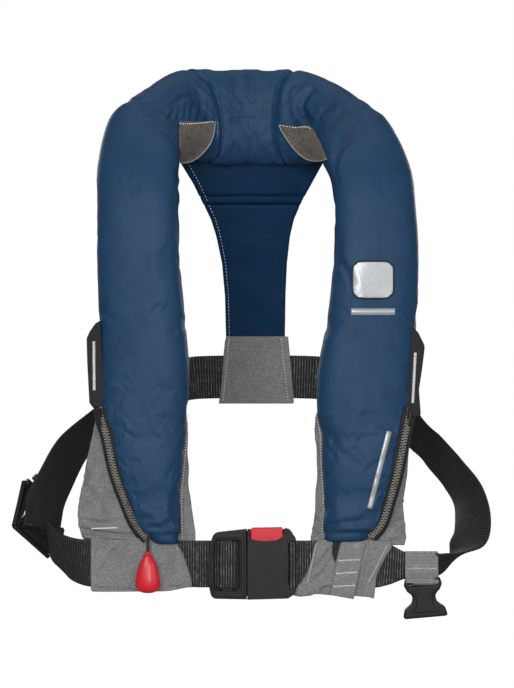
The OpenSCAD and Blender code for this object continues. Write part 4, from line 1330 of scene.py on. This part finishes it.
# The webbing loop from its top round the belt, and round the clip's bar: y, z
LOOP_PATH = [
    (-213.6, -185.2), (-212.4, -184.8), (-210.3, -186.5), (-210.2, -199), (-210.3, -210.5), (-212.4, -212.6),
    (-214.7, -213.4), (-216.6, -215.0), (-218.6, -217.2), (-222.5, -217.4), (-225.2, -215), (-224.6, -211.2),
    (-221.5, -209.6), (-218.0, -205.5), (-216.6, -200), (-216.0, -193), (-215.4, -187), (-214.6, -185.4)]


def tilted(points):
    """Swings (x, z, radius) points about the clip's cross-bar."""
    c, s = math.cos(CLIP_TILT), math.sin(CLIP_TILT)
    return [(CLIP_X + c * x - s * z, CLIP_Z + s * x + c * z, r) for x, z, r in points]


def both_halves(half):
    return half + [(-x, z, r) for x, z, r in reversed(half)]


def build_clip():
    """The crotch strap's clip, and the webbing loop that it hangs from."""
    slot = [(-14, -2.4, 0.8), (14, -2.4, 0.8), (14, -3.8, 0.5), (-14, -3.8, 0.5)]
    outlines = [rounded_outline(tilted(both_halves(CLIP_HALF)), 6), rounded_outline(tilted(slot))]
    moulding("clip_body", outlines, CLIP_Y - 4.8, 9.6, "black_plastic", 2.2,
             body="crotch_clip", stands_for=("crotch_clip",))
    panel = rounded_outline(tilted(both_halves(PANEL_HALF)), 6)
    moulding("clip_panel", [panel], CLIP_Y - 5.9, 3, "black_plastic", 1.0,
             body="crotch_clip")
    rows = [((CLIP_X - 0.5, y, z), (1, 0, 0)) for y, z in LOOP_PATH]
    webbing("clip_webbing", rows, "pale_webbing", width=34, thickness=1.5, pitch=1.5, relief=0.25,
            body="clip_loop", stands_for=("clip_loop",))
    tack = [(CLIP_X + u, -218.6, -201.5 + 0.5 * math.sin(u * 2)) for u in np.arange(-15, 15.1, 0.6)]
    stitches("clip_webbing_tack", [tack], length=1.2, gap=0.2, radius=0.4, body="clip_loop")


# ---- Plain marks in place of printing ----

# The patch's middle and half sizes, and the plane that the marks are laid from
PATCH = (118.5, 94.5, 21, 19)
MARK_Y = -228


def build_patch():
    """A plain reflective patch, and two plain bars."""
    x, z, half_w, half_h = PATCH
    share = np.linspace(-1, 1, 25)
    u, v = np.meshgrid(share, share)
    round_off = np.sqrt(np.maximum(1e-9, 1 - 0.28 * v**8))
    width = half_w * u * round_off
    height = half_h * v * np.sqrt(np.maximum(1e-9, 1 - 0.28 * u**8))
    flat = np.stack([x + width, z - height], -1).reshape(-1, 2)
    grid = drape(flat, COVER_TREE, 0.9, MARK_Y).reshape(25, 25, 3)
    thicken(put_sheet("plain_patch", grid, "reflective_patch", stands_for=("chest_patch",)), 0.9)
    border = np.concatenate([grid[0], grid[1:, -1], grid[-1, -2::-1], grid[-2:0:-1, 0]])
    cord("plain_patch_binding", border, 0.9, "black_rubber", closed=True)
    bars = {"chest_bar": ((96, 62), (141, 62), 3.4), "side_bar": ((115, -139), (135, -60), 2.6)}
    for name, (a, b, half) in bars.items():
        line = straight(a, b, 40)
        way = unit(np.subtract(b, a))
        rows = [line + np.array([-way[1], way[0]]) * h for h in (half, 0, -half)]
        sheet = np.array([drape(r, COVER_TREE, 0.7, MARK_Y) for r in rows])
        thicken(put_sheet(name, sheet, "reflective_patch"), 0.5)


# ---- Inside the cover ----

def build_bladder():
    """The folded bladder: it fills the cover, and thins to a tail behind the inflator and oral tube."""
    first = 2.15
    at = np.linspace(first, LAST_ROW - first, 220)
    near = MIDDLE_ROW - np.abs(at - MIDDLE_ROW)
    full = smooth((near - 6.75) / 0.8)
    centre, across, inward, w, t = section(at)
    turn = np.radians(even_angles(48))
    c, s = squared(np.cos(turn), 0.77), squared(np.sin(turn), 0.77)
    half_w = (20 + (w / 2 - 27) * full)[:, None, None]
    half_t = (1.7 + (t / 2 - 10.7) * full)[:, None, None]
    grid = (centre[:, None] + inward[:, None] * (17 - 17 * full)[:, None, None]
            + across[:, None] * half_w * c[None, :, None] + inward[:, None] * half_t * s[None, :, None])
    pleats = np.sin(turn * 9)[None, :] * (1.2 * full)[:, None]
    grid = grid + normals(grid) * (pleats + 0.8 * bumps(grid, 18, 6.6))[..., None]
    put_tube("folded_bladder", grid, "bladder_fabric", stands_for=("bladder",))


def dress_insides():
    finishes = {
        "inflator_body": "black_plastic", "inflator_manifold": "black_rubber",
        "lever_pin": "spring_steel", "firing_lever": "red_plastic", "firing_pin": "spring_steel",
        "firing_spring": "spring_steel", "auto_cartridge": "cartridge_plastic",
        "co2_cylinder": "cylinder_steel",
        "oral_tube": "oral_tube_rubber", "oral_valve": "white_plastic", "valve_spring": "spring_steel",
        "oral_cap": "oral_tube_rubber", "whistle": "orange_plastic", "whistle_lanyard": "black_cord"}
    for node, slot in finishes.items():
        dress(node, slot)


# ---- Studio ----

def area_light(name, place, aim, size, power):
    light = bpy.data.lights.new(name, "AREA")
    light.shape = "DISK"
    light.size = size
    light.energy = power
    obj = bpy.data.objects.new(name, light)
    obj.location = place
    obj.rotation_mode = "QUATERNION"
    obj.rotation_quaternion = (Vector(aim) - Vector(place)).to_track_quat("-Z", "Y")
    bpy.context.scene.collection.objects.link(obj)


def white_to_camera(tree, strength, target):
    """Feeds target with strength, or with 1 where the camera looks at the surface itself."""
    seen = tree.nodes.new("ShaderNodeLightPath")
    mix = tree.nodes.new("ShaderNodeMix")
    mix.inputs["A"].default_value = strength
    mix.inputs["B"].default_value = 1.0
    tree.links.new(seen.outputs["Is Camera Ray"], mix.inputs["Factor"])
    tree.links.new(mix.outputs["Result"], target)


WORLD_LIGHT, FLOOR_LIGHT = 0.2, 0.25
FLOOR_Z = -300
# Lights: name, place and aim and size in metres, and power in watts
LIGHTS = [
    ("key", (-0.8, -2.5, 0.9), (0, -0.15, 0.0), 1.2, 26),
    ("front", (0.2, -2.9, 0.3), (0, -0.15, -0.05), 0.9, 24),
    ("fill", (1.5, -2.1, 0.4), (0, -0.15, 0), 1.4, 9),
    ("top", (0, 0.1, 1.9), (0, -0.1, 0), 1.2, 5),
    ("back_left", (-1.3, 2.2, 0.9), (0, -0.1, 0), 1.2, 28),
    ("back_right", (1.3, 2.2, 0.6), (0, -0.1, 0), 1.2, 24)]


def build_studio():
    """A white floor and sky, soft lights, and the camera."""
    scene = bpy.context.scene
    scene.view_settings.view_transform = "Standard"
    world = bpy.data.worlds.new("studio")
    world.use_nodes = True
    background = world.node_tree.nodes["Background"]
    white_to_camera(world.node_tree, WORLD_LIGHT, background.inputs["Strength"])
    background.inputs["Color"].default_value = (1, 1, 1, 1)
    scene.world = world

    mesh = bpy.data.meshes.new("studio_floor")
    edge = [(6 * math.cos(a), 6 * math.sin(a), FLOOR_Z * MM) for a in whole_turn(96)]
    mesh.from_pydata(edge, [], [tuple(range(len(edge)))])
    floor = bpy.data.objects.new("studio_floor", mesh)
    scene.collection.objects.link(floor)
    material = bpy.data.materials.new("studio_floor")
    material.use_nodes = True
    shader = material.node_tree.nodes["Principled BSDF"]
    shader.inputs["Base Color"].default_value = (0.02, 0.02, 0.02, 1)
    shader.inputs["Specular IOR Level"].default_value = 0.0
    shader.inputs["Emission Color"].default_value = (1, 1, 1, 1)
    white_to_camera(material.node_tree, FLOOR_LIGHT, shader.inputs["Emission Strength"])
    mesh.materials.append(material)

    for light in LIGHTS:
        area_light(*light)

    camera = bpy.data.objects.new("camera", bpy.data.cameras.new("camera"))
    camera.data.lens = 117.2
    camera.data.sensor_width = 36
    camera.location = Vector(EYE) * MM
    camera.rotation_euler = (math.pi / 2, 0, 0)
    scene.collection.objects.link(camera)
    scene.camera = camera


build_yoke()
build_gussets()
build_back_plate()
build_straps()
build_adjuster()
build_front_belts()
for lobe in ("left", "right"):
    build_side_tab(lobe)
    build_zip(lobe)
build_pouch("right", "right_back_panel", RIGHT_POUCH, -1, ((-170, -161.5), (-144, -160.5)))
build_pouch("left", "left_back_panel", LEFT_POUCH, 1)
build_tunnels()
build_webbing_tab()
build_buckle()
build_pull()
build_clip()
build_patch()
build_bladder()
dress_insides()
build_studio()
